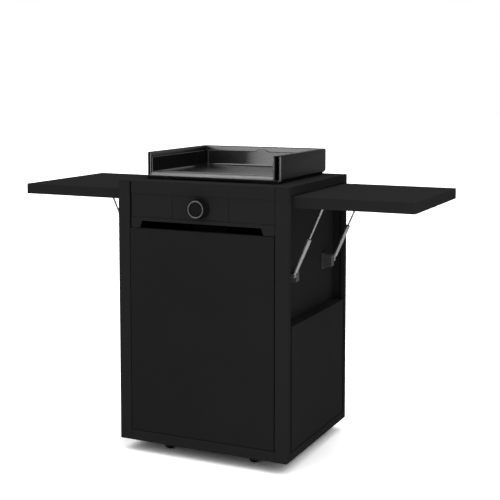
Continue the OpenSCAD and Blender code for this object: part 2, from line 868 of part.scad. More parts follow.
// Drip cup under the spout
module drip_cup() {
    z1 = cup_rim_z;
    y0 = cup_y0;
    y1 = y0 + cup_l;
    color([0.7, 0.7, 0.7])
        difference() {
            union() {
                translate([0, 0, z1 + 1.5 - cup_h])
                    linear_extrude(cup_h)
                        round_plan(-cup_half, cup_half, y0, y1, 10);
                block(-cup_half - cup_lip, cup_half + cup_lip, y0 + 4, y1, z1, z1 + 1.5);
            }
            translate([0, 0, z1 + 3 - cup_h])
                linear_extrude(cup_h)
                    round_plan(-cup_half + 1.5, cup_half - 1.5, y0 + 1.5, y1 - 1.5, 8.5);
        }
}

// Cooking plate: rounded front edge, flat floor, and a rim on three sides with a centre tab
module cooking_plate() {
    nose_y = guard_y0 + nose_r;
    nose_z = top_z + 0.5 + nose_r;
    floor0 = top_z + plate_top - plate_t;
    nose_x = guard_x - 2;
    color([0.16, 0.16, 0.16])
        difference() {
            union() {
                translate([0, nose_y, nose_z])
                    rod_x(-nose_x, nose_x, nose_r);
                translate([0, 0, floor0])
                    linear_extrude(plate_t)
                        round_plan(-plate_x, plate_x, nose_y, plate_y1, 10);
                translate([0, 0, top_z + rim_h + 0.2])
                    linear_extrude(rest_z - clear - top_z - rim_h - 0.2)
                        round_plan(-guard_x + 4.5, guard_x - 4.5, nose_y, guard_y1 - 4.5, 10);
                block(-plate_x, plate_x, nose_y + 2, nose_y + 16, rest_z - clear, top_z + plate_top);
                translate([0, 0, floor0])
                    linear_extrude(plate_rim - plate_top + plate_t)
                        difference() {
                            round_plan(-plate_x, plate_x, guard_y0 + 4, plate_y1, 10);
                            round_plan(-plate_x + plate_wall, plate_x - plate_wall, guard_y0 - 20,
                                       plate_y1 - plate_wall, 10 - plate_wall);
                        }
                translate([0, plate_y1, top_z + plate_rim])
                    rotate([90, 0, 0])
                        linear_extrude(plate_wall)
                            polygon([[-25, -1], [25, -1], [25, 0], [11.5, 9], [-11.5, 9], [-25, 0]]);
            }
            translate([0, 0, top_z])
                linear_extrude(floor0 - top_z)
                    round_plan(-plate_x + 8, plate_x - 8, hollow_y0, hollow_y1, 6);
            both_sides()
                block(plate_x, guard_x, guard_y0 - 2, nose_y + nose_r + 1, rest_z - clear, top_z + 40);
            block(-front_slot_w / 2, front_slot_w / 2, guard_y0 - 1, nose_y + nose_r + 1,
                  top_z - 1, top_z + front_slot_h);
            translate([0, spout_y, top_z - 1])
                cylinder(h = plate_top + 2, r = spout_r - spout_t);
            translate([0, spout_y, top_z - 1])
                cylinder(h = floor0 - top_z + 1, r = spout_r);
            block(-rim_x - clear, rim_x + clear, rim_y0 - clear, hollow_y0 + 0.1,
                  top_z - 1, top_z + rim_h + 0.2);
        }
}

// Spout that leads the fat from the plate down to the drip cup
module drain_spout() {
    z0 = tub_z - 14;
    z1 = top_z + plate_top - plate_t;
    color([0.6, 0.6, 0.6])
        translate([0, spout_y, z0])
            difference() {
                cylinder(h = z1 - z0, r = spout_r);
                translate([0, 0, -1])
                    cylinder(h = z1 - z0 + 2, r = spout_r - spout_t);
            }
}

// Plan of the guard between its outer face moved in by a and by b, open at the front
module guard_plan(a, b) {
    difference() {
        round_plan(-guard_x + a, guard_x - a, guard_y0 - 30, guard_y1 - a, guard_r - min(a, guard_r - 2));
        round_plan(-guard_x + b, guard_x - b, guard_y0 - 60, guard_y1 - b, guard_r - min(b, guard_r - 2));
        translate([-guard_x - 5, guard_y0 - 80])
            square([guard_w + 10, 80]);
    }
}

// Splash guard: one sheet folded over into a hollow wall on three sides, open at its ends
module splash_guard() {
    z1 = top_z + guard_top;
    color([0.12, 0.12, 0.12])
        difference() {
            translate([0, 0, rest_z])
                linear_extrude(z1 - rest_z)
                    guard_plan(0, guard_wall);
            translate([0, 0, rest_z - 1])
                linear_extrude(z1 - guard_t - rest_z + 1)
                    translate([0, -1])
                        difference() {
                            round_plan(-guard_x + guard_t, guard_x - guard_t, guard_y0 - 30,
                                       guard_y1 + 1 - guard_t, guard_r - guard_t);
                            round_plan(-guard_x + guard_wall - guard_t, guard_x - guard_wall + guard_t,
                                       guard_y0 - 60, guard_y1 + 1 - guard_wall + guard_t, 2);
                        }
            translate([-guard_x - 1, guard_y1, rest_z])
                rotate([90, 0, 90])
                    linear_extrude(guard_w + 2)
                        polygon([[-guard_clip, 0], [-guard_clip, -1], [1, -1], [1, guard_clip], [0, guard_clip]]);
        }
}

// Body of the knob: a skirt, a neck, and a flared head with a shallow dish in its face
module knob_dial() {
    h = knob_back - knob_front;
    color([0.09, 0.09, 0.09])
        translate([0, knob_back, knob_z])
            rotate([90, 0, 0])
                rotate_extrude($fn = 64)
                    difference() {
                        polygon([[spindle_r, 0], [skirt_r, 0], [skirt_r, skirt_d - 1],
                                 [skirt_r - 1, skirt_d], [knob_r - 4.5, skirt_d],
                                 [knob_r - 4.5, h - 9], [knob_r - 1, h - 5], [knob_r - 1, h - 4],
                                 [dial_r, h - 4], [dial_r, h - 3], [0, h - 3], [0, 14], [spindle_r, 14]]);
                        translate([0, h + 117])
                            circle(118.4, $fn = 96);
                    }
}

// Bright ring round the knob's face
module knob_ring() {
    color([0.32, 0.32, 0.31])
        translate([0, knob_front, knob_z])
            rotate([-90, 0, 0])
                rotate_extrude($fn = 64) {
                    translate([dial_r, 2])
                        square([ring_w, 2]);
                    translate([dial_r + ring_w / 2, 2])
                        circle(ring_w / 2, $fn = 24);
                }
}

// Spindle between the knob and the thermostat
module knob_spindle() {
    y1 = front_y + 2 * sheet_t + 12;
    color([0.7, 0.7, 0.7])
        translate([0, 0, knob_z])
            rod_y(knob_back - 14, y1, spindle_r);
}

// Door: a folded tray with returns on all four sides
module door_skin() {
    color([0.13, 0.13, 0.13])
        difference() {
            block(-door_x, door_x, front_y, front_y + door_t, door_z0, door_z1);
            block(-door_x + sheet_t, door_x - sheet_t, front_y + sheet_t, front_y + door_t + 1,
                  door_z0 + sheet_t, door_z1 - sheet_t);
            for (z = [door_z0 - 1, door_z1 - sheet_t - 1])
                translate([pivot_x, pivot_y, z])
                    cylinder(h = sheet_t + 2, r = bush_r);
        }
}

// Inner sheet of the door, with a raised panel that stiffens it
module door_liner() {
    x = door_x - sheet_t;
    y = front_y + door_t;
    color([0.12, 0.12, 0.12])
        difference() {
            union() {
                block(-x, x, y - sheet_t, y, door_z0 + sheet_t, door_z1 - sheet_t);
                translate([0, y, 0])
                    rotate([90, 0, 0])
                        linear_extrude(sheet_t + 3)
                            round_plan(-x + 40, x - 40, door_z0 + 40, door_z1 - 40, 12);
            }
            translate([0, y + 1, 0])
                rotate([90, 0, 0])
                    linear_extrude(4)
                        round_plan(-x + 42, x - 42, door_z0 + 42, door_z1 - 42, 10);
        }
}

// Plastic bushes in the door's top and bottom returns
module door_bushes() {
    color([0.85, 0.85, 0.82])
        translate([pivot_x, pivot_y, 0])
            for (z = [door_z0, door_z1 - bush_h])
                translate([0, 0, z])
                    difference() {
                        cylinder(h = bush_h, r = bush_r);
                        translate([0, 0, -1])
                            cylinder(h = bush_h + 2, r = pivot_r + fit);
                    }
}

// Steel plate that the magnet holds
module door_strike() {
    x0 = slot_half + seam;
    y0 = front_y + door_t;
    color([0.6, 0.6, 0.6])
        block(x0, x0 + catch_w, y0, y0 + strike_t, door_z1 - sheet_t - catch_h, door_z1 - sheet_t);
}

// Folding side shelf: a folded tray, open below, with returned edges and two stiffening channels
module shelf_right() {
    z0 = shelf_z - shelf_t;
    t = sheet_t;
    color([0.17, 0.17, 0.17]) {
        difference() {
            translate([0, 0, z0])
                linear_extrude(shelf_t)
                    shelf_plan(0);
            translate([0, 0, z0 - 1])
                linear_extrude(shelf_t - t + 1)
                    shelf_plan(t);
        }
        translate([0, 0, z0])
            linear_extrude(t)
                difference() {
                    shelf_plan(0);
                    translate([shelf_x0 - 1, shelf_y0 + return_w])
                        square([shelf_x1 - shelf_x0 + 1 - return_w, shelf_y1 - shelf_y0 - 2 * return_w]);
                }
        for (side = [-1, 1])
            translate([0, recess_mid + side * 50, 0])
                difference() {
                    block(shelf_x0 + 20, shelf_x1 - 24, -18, 18, shelf_z - t - 14, shelf_z - t);
                    block(shelf_x0 + 19, shelf_x1 - 23, -16, 16, shelf_z - t - 12, shelf_z - t + 1);
                }
    }
}

// Plan of the shelf moved in by a: square at the hinge, round at the outer corners
module shelf_plan(a) {
    round_plan(shelf_x0 + a, shelf_x1 - a, shelf_y0 + a, shelf_y1 - a, shelf_r - min(a, shelf_r - 1));
    translate([shelf_x0 + a, shelf_y0 + a])
        square([shelf_r, shelf_y1 - shelf_y0 - 2 * a]);
}

module shelf_left() {
    mirror([1, 0, 0])
        shelf_right();
}

// Moving hinge halves and strut mounts of a shelf. The studs stop short of the rod's eyes
module shelf_fittings_right() {
    third = hinge_l / 3;
    mount = strut_out - eye_t / 2 - 0.5;
    under = shelf_z - sheet_t;
    color([0.28, 0.28, 0.29]) {
        for (side = [-1, 1])
            translate([0, recess_mid + side * hinge_out, 0])
                difference() {
                    union() {
                        translate([hinge_x, 0, hinge_z])
                            rod_y(-third / 2 + clear, third / 2 - clear, knuckle_r);
                        block(shelf_x0 - 2, shelf_x0, -third / 2 + clear, third / 2 - clear,
                              hinge_z - 8, hinge_z);
                        block(shelf_x0 - 2, shelf_x0, -hinge_l / 2, hinge_l / 2,
                              hinge_z - 26, hinge_z - knuckle_r - 1.5);
                    }
                    translate([hinge_x, 0, hinge_z])
                        rod_y(-third, third, hinge_pin_r + fit);
                }
        for (side = [-1, 1])
            translate([0, recess_mid, 0])
                mirror([0, side < 0 ? 1 : 0, 0]) {
                    block(head_x - 12, head_x + 12, mount - 9, mount - 6, head_z - 9, under);
                    block(head_x - 12, head_x + 12, mount - 24, mount - 6, under - 3, under);
                    translate([head_x, 0, head_z])
                        rod_y(mount - 7, mount, stud_r);
                }
    }
}

module shelf_fittings_left() {
    mirror([1, 0, 0])
        shelf_fittings_right();
}

// Puts a strut, drawn along Z from its foot pivot, at the front or rear of the right side
module at_strut(side) {
    translate([foot_x, recess_mid + side * strut_out, foot_z])
        rotate([0, strut_lean, 0])
            children();
}

// Gas strut's tube with the eye at its foot
module strut_tube() {
    color([0.62, 0.62, 0.62])
        difference() {
            union() {
                rod_y(-eye_t / 2, eye_t / 2, eye_r);
                cylinder(h = foot_cap, r = eye_r - 2.5);
                translate([0, 0, foot_cap - 3])
                    cylinder(h = tube_l - foot_cap + 1, r = tube_r);
                translate([0, 0, tube_l - 2])
                    cylinder(h = 2, r1 = tube_r, r2 = tube_r - 2);
            }
            rod_y(-eye_t, eye_t, stud_r + fit);
            translate([0, 0, foot_cap])
                cylinder(h = tube_l - foot_cap - 10, r = tube_r - 1.2);
            translate([0, 0, tube_l - 12])
                cylinder(h = 14, r = rod_r + fit);
        }
}

// Gas strut's rod with its piston and the eye at its head
module strut_rod() {
    color([0.82, 0.82, 0.82]) {
        piston_z = tube_l - 14 - piston_h;
        difference() {
            union() {
                translate([0, 0, piston_z])
                    cylinder(h = strut_l - piston_z - eye_r + 1, r = rod_r);
                translate([0, 0, piston_z])
                    cylinder(h = piston_h, r = tube_r - 1.4);
                translate([0, 0, strut_l - eye_r - 10])
                    cylinder(h = 11, r = rod_r + 1.5);
                translate([0, 0, strut_l])
                    rod_y(-eye_t / 2, eye_t / 2, eye_r);
            }
            translate([0, 0, strut_l])
                rod_y(-eye_t, eye_t, stud_r + fit);
        }
    }
}

module strut_tube_right_front() {
    at_strut(-1)
        strut_tube();
}

module strut_tube_right_rear() {
    at_strut(1)
        strut_tube();
}

module strut_tube_left_front() {
    mirror([1, 0, 0])
        strut_tube_right_front();
}

module strut_tube_left_rear() {
    mirror([1, 0, 0])
        strut_tube_right_rear();
}

module strut_rod_right_front() {
    at_strut(-1)
        strut_rod();
}

module strut_rod_right_rear() {
    at_strut(1)
        strut_rod();
}

module strut_rod_left_front() {
    mirror([1, 0, 0])
        strut_rod_right_front();
}

module strut_rod_left_rear() {
    mirror([1, 0, 0])
        strut_rod_right_rear();
}

// Swivelling fork of a castor with the wheel's axle, bored for the pedal's pin where it has one
module castor_fork(has_pedal) {
    color([0.55, 0.55, 0.55])
        difference() {
            union() {
                translate([0, 0, fork_top - fork_cap])
                    cylinder(h = fork_cap, r = 19);
                for (side = [-1, 1])
                    translate([side * (leg_x + leg_t / 2) - leg_t / 2, 0, 0])
                        rotate([90, 0, 90])
                            linear_extrude(leg_t)
                                fork_leg();
                translate([0, -trail, wheel_r])
                    rod_x(-leg_x - leg_t - 1, leg_x + leg_t + 1, axle_r);
            }
            translate([0, 0, fork_top - fork_cap - 1])
                cylinder(h = fork_cap + 2, r = axle_r + fit);
            if (has_pedal)
                translate([0, pedal_y, pedal_z])
                    rod_x(-leg_x - leg_t - 2, leg_x + leg_t + 2, pedal_pin_r + fit);
        }
}

// Side of the fork, from the cap down and forward to the axle
module fork_leg() {
    z1 = fork_top;
    polygon([[12, z1], [12, z1 - 10], [-trail + 7, wheel_r - 4], [-trail - 7, wheel_r - 4],
             [-trail - 19, z1 - 18], [-trail - 19, z1 - 8], [-12, z1]]);
    translate([-trail, wheel_r - 2])
        circle(8);
}

// Wheel with a rounded tread and a dished hub
module castor_wheel() {
    w = wheel_w / 2;
    color([0.1, 0.1, 0.1])
        translate([0, -trail, wheel_r])
            rotate([0, 90, 0])
                rotate_extrude($fn = 64)
                    polygon([[axle_r + fit, -w], [10, -w], [12, -w + 3], [18, -w + 3], [20, -w],
                             [wheel_r - 3, -w], [wheel_r, -w + 3], [wheel_r, w - 3], [wheel_r - 3, w],
                             [20, w], [18, w - 3], [12, w - 3], [10, w], [axle_r + fit, w]]);
}

module castor_fork_front_left() {
    at_castor(-1, -1)
        castor_fork(true);
}

module castor_fork_front_right() {
    at_castor(1, -1)
        castor_fork(true);
}

module castor_fork_rear_left() {
    at_castor(-1, 1)
        castor_fork(false);
}

module castor_fork_rear_right() {
    at_castor(1, 1)
        castor_fork(false);
}

module castor_wheel_front_left() {
    at_castor(-1, -1)
        castor_wheel();
}

module castor_wheel_front_right() {
    at_castor(1, -1)
        castor_wheel();
}

module castor_wheel_rear_left() {
    at_castor(-1, 1)
        castor_wheel();
}

module castor_wheel_rear_right() {
    at_castor(1, 1)
        castor_wheel();
}

// Brake pedal between the legs of a front castor, with its pin and the bar that meets the tread
module brake_pedal() {
    w = leg_x - 0.4;
    color([0.7, 0.12, 0.1])
        translate([0, pedal_y, pedal_z]) {
            rod_x(-leg_x - leg_t - 1, leg_x + leg_t + 1, pedal_pin_r);
            rod_x(-w, w, pedal_pin_r + 1.5);
            rotate([20, 0, 0])
                block(-w + 0.6, w - 0.6, -24, 0, -1.5, 1.5);
            translate([0, -6, -6])
                rod_x(-w + 1, w - 1, 2.5);
            block(-w + 1.6, w - 1.6, -7.4, -4.4, -6, -0.5);
        }
}

module brake_pedal_left() {
    at_castor(-1, -1)
        brake_pedal();
}

module brake_pedal_right() {
    at_castor(1, -1)
        brake_pedal();
}

base_tray();
front_posts();
rear_posts();
side_panel_left();
side_panel_right();
back_panel();
worktop();
grip_rail();
fascia_left();
fascia_right();
inner_shelf();
shelf_hinges();
strut_brackets();
door_pivots();
door_magnet();
castor_plates();
cord_gland();
back_screws();
griddle_housing();
control_panel();
reflector_tray();
heating_element();
thermostat();
sensor_bulb();
terminal_block();
cup_runners();
cooking_plate();
drain_spout();
splash_guard();
drip_cup();
knob_dial();
knob_ring();
knob_spindle();
door_skin();
door_liner();
door_bushes();
door_strike();
shelf_left();
shelf_right();
shelf_fittings_left();
shelf_fittings_right();
strut_tube_left_front();
strut_tube_left_rear();
strut_tube_right_front();
strut_tube_right_rear();
strut_rod_left_front();
strut_rod_left_rear();
strut_rod_right_front();
strut_rod_right_rear();
castor_fork_front_left();
castor_fork_front_right();
castor_fork_rear_left();
castor_fork_rear_right();
castor_wheel_front_left();
castor_wheel_front_right();
castor_wheel_rear_left();
castor_wheel_rear_right();
brake_pedal_left();
brake_pedal_right();
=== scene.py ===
import math

import bmesh
import bpy
from mathutils import Matrix, Vector


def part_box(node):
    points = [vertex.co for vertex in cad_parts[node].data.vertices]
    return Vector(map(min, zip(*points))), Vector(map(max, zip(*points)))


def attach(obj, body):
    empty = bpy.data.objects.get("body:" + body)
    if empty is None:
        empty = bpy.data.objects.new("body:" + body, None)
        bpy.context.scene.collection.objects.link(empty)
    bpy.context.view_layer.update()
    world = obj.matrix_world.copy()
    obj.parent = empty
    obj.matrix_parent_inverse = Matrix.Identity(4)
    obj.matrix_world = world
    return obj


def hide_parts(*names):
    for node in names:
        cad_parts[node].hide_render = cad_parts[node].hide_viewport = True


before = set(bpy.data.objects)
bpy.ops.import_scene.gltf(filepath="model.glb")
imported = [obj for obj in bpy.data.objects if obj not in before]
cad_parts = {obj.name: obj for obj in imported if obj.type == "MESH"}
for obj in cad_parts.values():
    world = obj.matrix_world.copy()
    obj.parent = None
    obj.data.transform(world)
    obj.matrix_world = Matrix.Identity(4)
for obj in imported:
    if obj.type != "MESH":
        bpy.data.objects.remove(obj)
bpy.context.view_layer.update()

# The camera stands to the right of the cart, a little above its worktop, and looks back
# at it as someone would from a few steps away. The lens is that of a short telephoto.
camera_data = bpy.data.cameras.new("camera")
camera_data.lens = 76.97
camera_data.sensor_width = 36.0
camera_data.shift_y = -0.15
camera_data.clip_end = 60.0
camera = bpy.data.objects.new("camera", camera_data)
camera.location = (1.5147, -3.1077, 1.1888)
camera.rotation_euler = (math.radians(90.0 - 5.098), 0.0, math.radians(25.126))
bpy.context.scene.collection.objects.link(camera)
bpy.context.scene.camera = camera
bpy.context.scene.view_settings.view_transform = "Standard"

# The floor is plain and pale, and keeps the cart's shadow. The camera sees it a stop
# brighter, so that it fades into the white of the room without more light on the cart.
def worked_out(tree, operation, *values):
    """The result of one sum on sockets and plain numbers."""
    sum_node = tree.nodes.new("ShaderNodeMath")
    sum_node.operation = operation
    for place, value in zip(sum_node.inputs, values):
        if isinstance(value, bpy.types.NodeSocket):
            tree.links.new(value, place)
        else:
            place.default_value = value
    return sum_node.outputs[0]


def seen_or_mirrored(tree):
    """1 for what the camera sees directly or in a gloss, and 0 for what only gets light."""
    rays = tree.nodes.new("ShaderNodeLightPath").outputs
    return worked_out(tree, "MAXIMUM", rays["Is Camera Ray"], rays["Is Glossy Ray"])


HALF_FLOOR = 30.0
floor_mesh = bpy.data.meshes.new("floor")
floor_mesh.from_pydata(
    [(-HALF_FLOOR, -HALF_FLOOR, 0), (HALF_FLOOR, -HALF_FLOOR, 0),
     (HALF_FLOOR, HALF_FLOOR, 0), (-HALF_FLOOR, HALF_FLOOR, 0)], [], [(0, 1, 2, 3)])
floor = bpy.data.objects.new("floor", floor_mesh)
bpy.context.scene.collection.objects.link(floor)

floor_paint = bpy.data.materials.new("pale_floor")
floor_paint.use_nodes = True
floor_tree = floor_paint.node_tree
floor_shader = floor_tree.nodes["Principled BSDF"]
floor_shader.inputs["Base Color"].default_value = (0.9, 0.9, 0.9, 1.0)
floor_shader.inputs["Roughness"].default_value = 1.0
floor_shader.inputs["Specular IOR Level"].default_value = 0.0
floor_bright = floor_tree.nodes.new("ShaderNodeAddShader")
floor_mix = floor_tree.nodes.new("ShaderNodeMixShader")
for socket in (*floor_bright.inputs, floor_mix.inputs[1]):
    floor_tree.links.new(floor_shader.outputs["BSDF"], socket)
floor_tree.links.new(floor_bright.outputs["Shader"], floor_mix.inputs[2])
floor_tree.links.new(seen_or_mirrored(floor_tree), floor_mix.inputs[0])
floor_out = floor_tree.nodes["Material Output"]
floor_tree.links.new(floor_mix.outputs["Shader"], floor_out.inputs["Surface"])
floor_mesh.materials.append(floor_paint)

# The studio is a white room, lit through its ceiling. The camera and all that mirrors or
# lets through light see it plain white. As a lamp it is bright overhead and weak at the
# horizon, so the floor stays white while the space under the cart goes dark.
CEILING = 1.9
HORIZON = 0.06
room = bpy.data.worlds.new("white_room")
bpy.context.scene.world = room
room.use_nodes = True
room_tree = room.node_tree
room_tree.nodes.clear()
room_rays = room_tree.nodes.new("ShaderNodeLightPath").outputs
seen_white = worked_out(
    room_tree, "MAXIMUM", seen_or_mirrored(room_tree), room_rays["Is Transmission Ray"])
direction = room_tree.nodes.new("ShaderNodeTexCoord")
split_direction = room_tree.nodes.new("ShaderNodeSeparateXYZ")
room_tree.links.new(direction.outputs["Generated"], split_direction.inputs[0])
upward = worked_out(room_tree, "MAXIMUM", split_direction.outputs["Z"], 0.0)
overhead = worked_out(room_tree, "POWER", upward, 2.0)
room_strength = worked_out(room_tree, "MULTIPLY_ADD", overhead, CEILING, HORIZON)
wall_light = room_tree.nodes.new("ShaderNodeBackground")
wall_light.inputs["Color"].default_value = (1.0, 1.0, 1.0, 1.0)
wall_white = room_tree.nodes.new("ShaderNodeBackground")
wall_white.inputs["Color"].default_value = (1.0, 1.0, 1.0, 1.0)
wall_white.inputs["Strength"].default_value = 1.0
wall_mix = room_tree.nodes.new("ShaderNodeMixShader")
room_out = room_tree.nodes.new("ShaderNodeOutputWorld")
room_tree.links.new(room_strength, wall_light.inputs["Strength"])
room_tree.links.new(seen_white, wall_mix.inputs[0])
room_tree.links.new(wall_light.outputs[0], wall_mix.inputs[1])
room_tree.links.new(wall_white.outputs[0], wall_mix.inputs[2])
room_tree.links.new(wall_mix.outputs[0], room_out.inputs["Surface"])


# A tall soft box in front, a little to the left, lifts the front. A weak one at the right
# does the same for that side, and a wide one above keeps the tops from going flat. The two
# gloss strips light nothing: the enamel mirrors them, which draws its rims and rolled edge.
def soft_box(name, place, aim, size, watts, lights=True, mirrored=True):
    box_light = bpy.data.lights.new(name, "AREA")
    box_light.shape = "RECTANGLE"
    box_light.size, box_light.size_y = size
    box_light.energy = watts
    box = bpy.data.objects.new(name, box_light)
    box.location = place
    box.rotation_euler = (Vector(aim) - Vector(place)).to_track_quat("-Z", "Y").to_euler()
    box.visible_camera = False
    box.visible_diffuse = lights
    box.visible_glossy = mirrored
    bpy.context.scene.collection.objects.link(box)


soft_box("tall_box", place=(-0.9, -3.4, 1.7), aim=(0, 0, 0.9), size=(0.6, 2.4), watts=16)
soft_box("top_box", place=(0.1, 0.9, 3.4), aim=(0, 0, 0.9), size=(1.8, 0.6), watts=12)
soft_box("side_box", place=(1.9, -0.8, 1.25), aim=(0.3, 0, 0.75), size=(0.5, 1.6), watts=8,
         mirrored=False)
soft_box("front_strip", place=(-1.3, -2.4, 1.8), aim=(0, -0.1, 0.9), size=(0.5, 3.4), watts=70,
         lights=False)
soft_box("upper_strip", place=(-0.7, -0.9, 2.8), aim=(0, -0.2, 0.9), size=(1.0, 1.6), watts=30,
         lights=False)


# The base tray is the floor of the cabinet, folded from 2 mm steel with a sill at the front,
# the back and each side. Like every sheet of the cart it is powder coated: a plastic paint
# melted on, which sets as a fine orange peel with a faint cloudiness.
def effect_group(name, inputs, outputs):
    """An empty node group with these sockets, what it is given and what it makes."""
    group = bpy.data.node_groups.new(name, "ShaderNodeTree")
    for socket_name, kind, start in inputs:
        socket = group.interface.new_socket(
            socket_name, in_out="INPUT", socket_type="NodeSocket" + kind)
        socket.default_value = start
    for socket_name, kind in outputs:
        group.interface.new_socket(socket_name, in_out="OUTPUT", socket_type="NodeSocket" + kind)
    given = group.nodes.new("NodeGroupInput").outputs
    made = group.nodes.new("NodeGroupOutput").inputs
    return group, given, made


def clouds(tree, size, detail=2.0, stretch=(1.0, 1.0, 1.0)):
    """Noise from 0 to 1 with spots about as wide as size, drawn out where stretch is small."""
    where = tree.nodes.new("ShaderNodeTexCoord").outputs["Object"]
    drawn_out = tree.nodes.new("ShaderNodeMapping")
    drawn_out.inputs["Scale"].default_value = stretch
    tree.links.new(where, drawn_out.inputs["Vector"])
    noise = tree.nodes.new("ShaderNodeTexNoise")
    noise.inputs["Detail"].default_value = detail
    tree.links.new(drawn_out.outputs["Vector"], noise.inputs["Vector"])
    tree.links.new(worked_out(tree, "DIVIDE", 1.0, size), noise.inputs["Scale"])
    return noise.outputs["Fac"]


def mottle(tree, size, detail, amount):
    """Clouds that swing about zero, as strongly as amount."""
    about_zero = worked_out(tree, "SUBTRACT", clouds(tree, size, detail), 0.5)
    return worked_out(tree, "MULTIPLY", about_zero, amount)


def laid_on(tree, given, made, brightness, roughness, height):
    """What an effect lays on a surface: its tone at a brightness, a roughness and a height."""
    scaled = tree.nodes.new("ShaderNodeVectorMath")
    scaled.operation = "SCALE"
    tree.links.new(given["Tone"], scaled.inputs[0])
    tree.links.new(brightness, scaled.inputs["Scale"])
    tree.links.new(scaled.outputs["Vector"], made["Color"])
    tree.links.new(roughness, made["Roughness"])
    tree.links.new(height, made["Height"])


COLOUR_ROUGHNESS_HEIGHT = (("Color", "Color"), ("Roughness", "Float"), ("Height", "Float"))
GRAIN_SHADE = 0.3
powder_coat, given, made = effect_group(
    "powder_coat",
    (("Tone", "Color", (0.02, 0.02, 0.0202, 1.0)), ("Grain Size", "Float", 0.0011),
     ("Cloud Size", "Float", 0.22), ("Cloud", "Float", 0.16), ("Roughness", "Float", 0.6)),
    COLOUR_ROUGHNESS_HEIGHT)
grain = clouds(powder_coat, given["Grain Size"])
cloud = mottle(powder_coat, given["Cloud Size"], 5.0, given["Cloud"])
shade = worked_out(powder_coat, "MULTIPLY_ADD", grain, GRAIN_SHADE, 1 - GRAIN_SHADE / 2)
laid_on(powder_coat, given, made,
        brightness=worked_out(powder_coat, "ADD", shade, cloud),
        roughness=worked_out(powder_coat, "MULTIPLY_ADD", cloud, 0.6, given["Roughness"]),
        height=grain)


def finished(name, effect, gloss, bump, depth=0.0002, metal=0.0, edge_tone=1.0, **values):
    """A material whose colour, roughness and relief come from an effect group."""
    finish = bpy.data.materials.new(name)
    finish.use_nodes = True
    tree = finish.node_tree
    shader = tree.nodes["Principled BSDF"]
    shader.inputs["Metallic"].default_value = metal
    shader.inputs["Specular IOR Level"].default_value = gloss
    shader.inputs["Specular Tint"].default_value = (edge_tone, edge_tone, edge_tone, 1.0)
    surface = tree.nodes.new("ShaderNodeGroup")
    surface.node_tree = effect
    for socket_name, value in values.items():
        surface.inputs[socket_name.replace("_", " ").title()].default_value = value
    relief = tree.nodes.new("ShaderNodeBump")
    relief.inputs["Strength"].default_value = bump
    relief.inputs["Distance"].default_value = depth
    tree.links.new(surface.outputs["Color"], shader.inputs["Base Color"])
    tree.links.new(surface.outputs["Roughness"], shader.inputs["Roughness"])
    tree.links.new(surface.outputs["Height"], relief.inputs["Height"])
    tree.links.new(relief.outputs["Normal"], shader.inputs["Normal"])
    return finish


SHARP_EDGE = math.radians(28)


def dressed(name, finish, edge, rounds=2):
    """Gives a CAD node its finish, and rounds its edges as a fold or a mould leaves them."""
    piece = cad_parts[name]
    piece.data.materials.clear()
    piece.data.materials.append(finish)
    if edge:
        weld = piece.modifiers.new("weld", "WELD")
        weld.merge_threshold = 1e-5
        rounding = piece.modifiers.new("rounded_edges", "BEVEL")
        rounding.width = edge
        rounding.segments = rounds
        rounding.limit_method = "ANGLE"
        rounding.angle_limit = SHARP_EDGE
        shading = piece.modifiers.new("even_shading", "WEIGHTED_NORMAL")
        shading.keep_sharp = True


body_paint = finished("body_paint", powder_coat, gloss=0.0, bump=0.12)
dressed("base_tray", body_paint, edge=0.0004)


# The castors are bought in: a zinc-plated plate and kingpin under the floor, and a pressed
# fork that swivels on it. Zinc plating is a thin bright layer with a faint bloom.
RUBBED_LINES = 0.0006
plated_metal, given, made = effect_group(
    "plated_metal",
    (("Tone", "Color", (0.3, 0.3, 0.31, 1.0)), ("Bloom Size", "Float", 0.012),
     ("Bloom", "Float", 0.3), ("Roughness", "Float", 0.35)),
    COLOUR_ROUGHNESS_HEIGHT)
bloom = mottle(plated_metal, given["Bloom Size"], 4.0, given["Bloom"])
laid_on(plated_metal, given, made,
        brightness=worked_out(plated_metal, "ADD", bloom, 1.0),
        roughness=worked_out(plated_metal, "MULTIPLY_ADD", bloom, -0.6, given["Roughness"]),
        height=clouds(plated_metal, RUBBED_LINES, detail=1.0, stretch=(1.0, 1.0, 0.08)))

zinc_steel = finished("zinc_steel", plated_metal, gloss=0.5, bump=0.05, metal=1.0, edge_tone=0.4)
dressed("castor_plates", zinc_steel, edge=0.0005)
CASTOR_CORNERS = [(end, side) for end in ("front", "rear") for side in ("left", "right")]
for end, side in CASTOR_CORNERS:
    dressed(f"castor_fork_{end}_{side}", zinc_steel, edge=0.0004)


# Each wheel is a grey plastic hub pressed into a black rubber tyre, whose flat tread slopes
# down at both shoulders. It turns on the fork's steel axle.
SAME_SPOT = 1e-6
CORNER_SHARE = 0.49


def softened(outline, steps=4):
    """A closed outline of (x, y, corner radius), with its corners drawn as arcs."""
    points = []
    for i, (x, y, radius) in enumerate(outline):
        corner = Vector((x, y))
        before = Vector(outline[i - 1][:2]) - corner
        after = Vector(outline[(i + 1) % len(outline)][:2]) - corner
        half = before.angle(after) / 2
        room_for = CORNER_SHARE * min(before.length, after.length) * math.tan(half)
        radius = min(radius, room_for)
        if radius < SAME_SPOT:
            points.append((x, y))
            continue
        reach = radius / math.tan(half)
        before.normalize()
        after.normalize()
        centre = corner + (before + after).normalized() * (radius / math.sin(half))
        first = corner + before * reach - centre
        last = corner + after * reach - centre
        start = math.atan2(first.y, first.x)
        swing = (math.atan2(last.y, last.x) - start + math.pi) % (2 * math.pi) - math.pi
        for k in range(steps + 1):
            angle = start + swing * k / steps
            points.append((centre.x + radius * math.cos(angle),
                           centre.y + radius * math.sin(angle)))
    return points


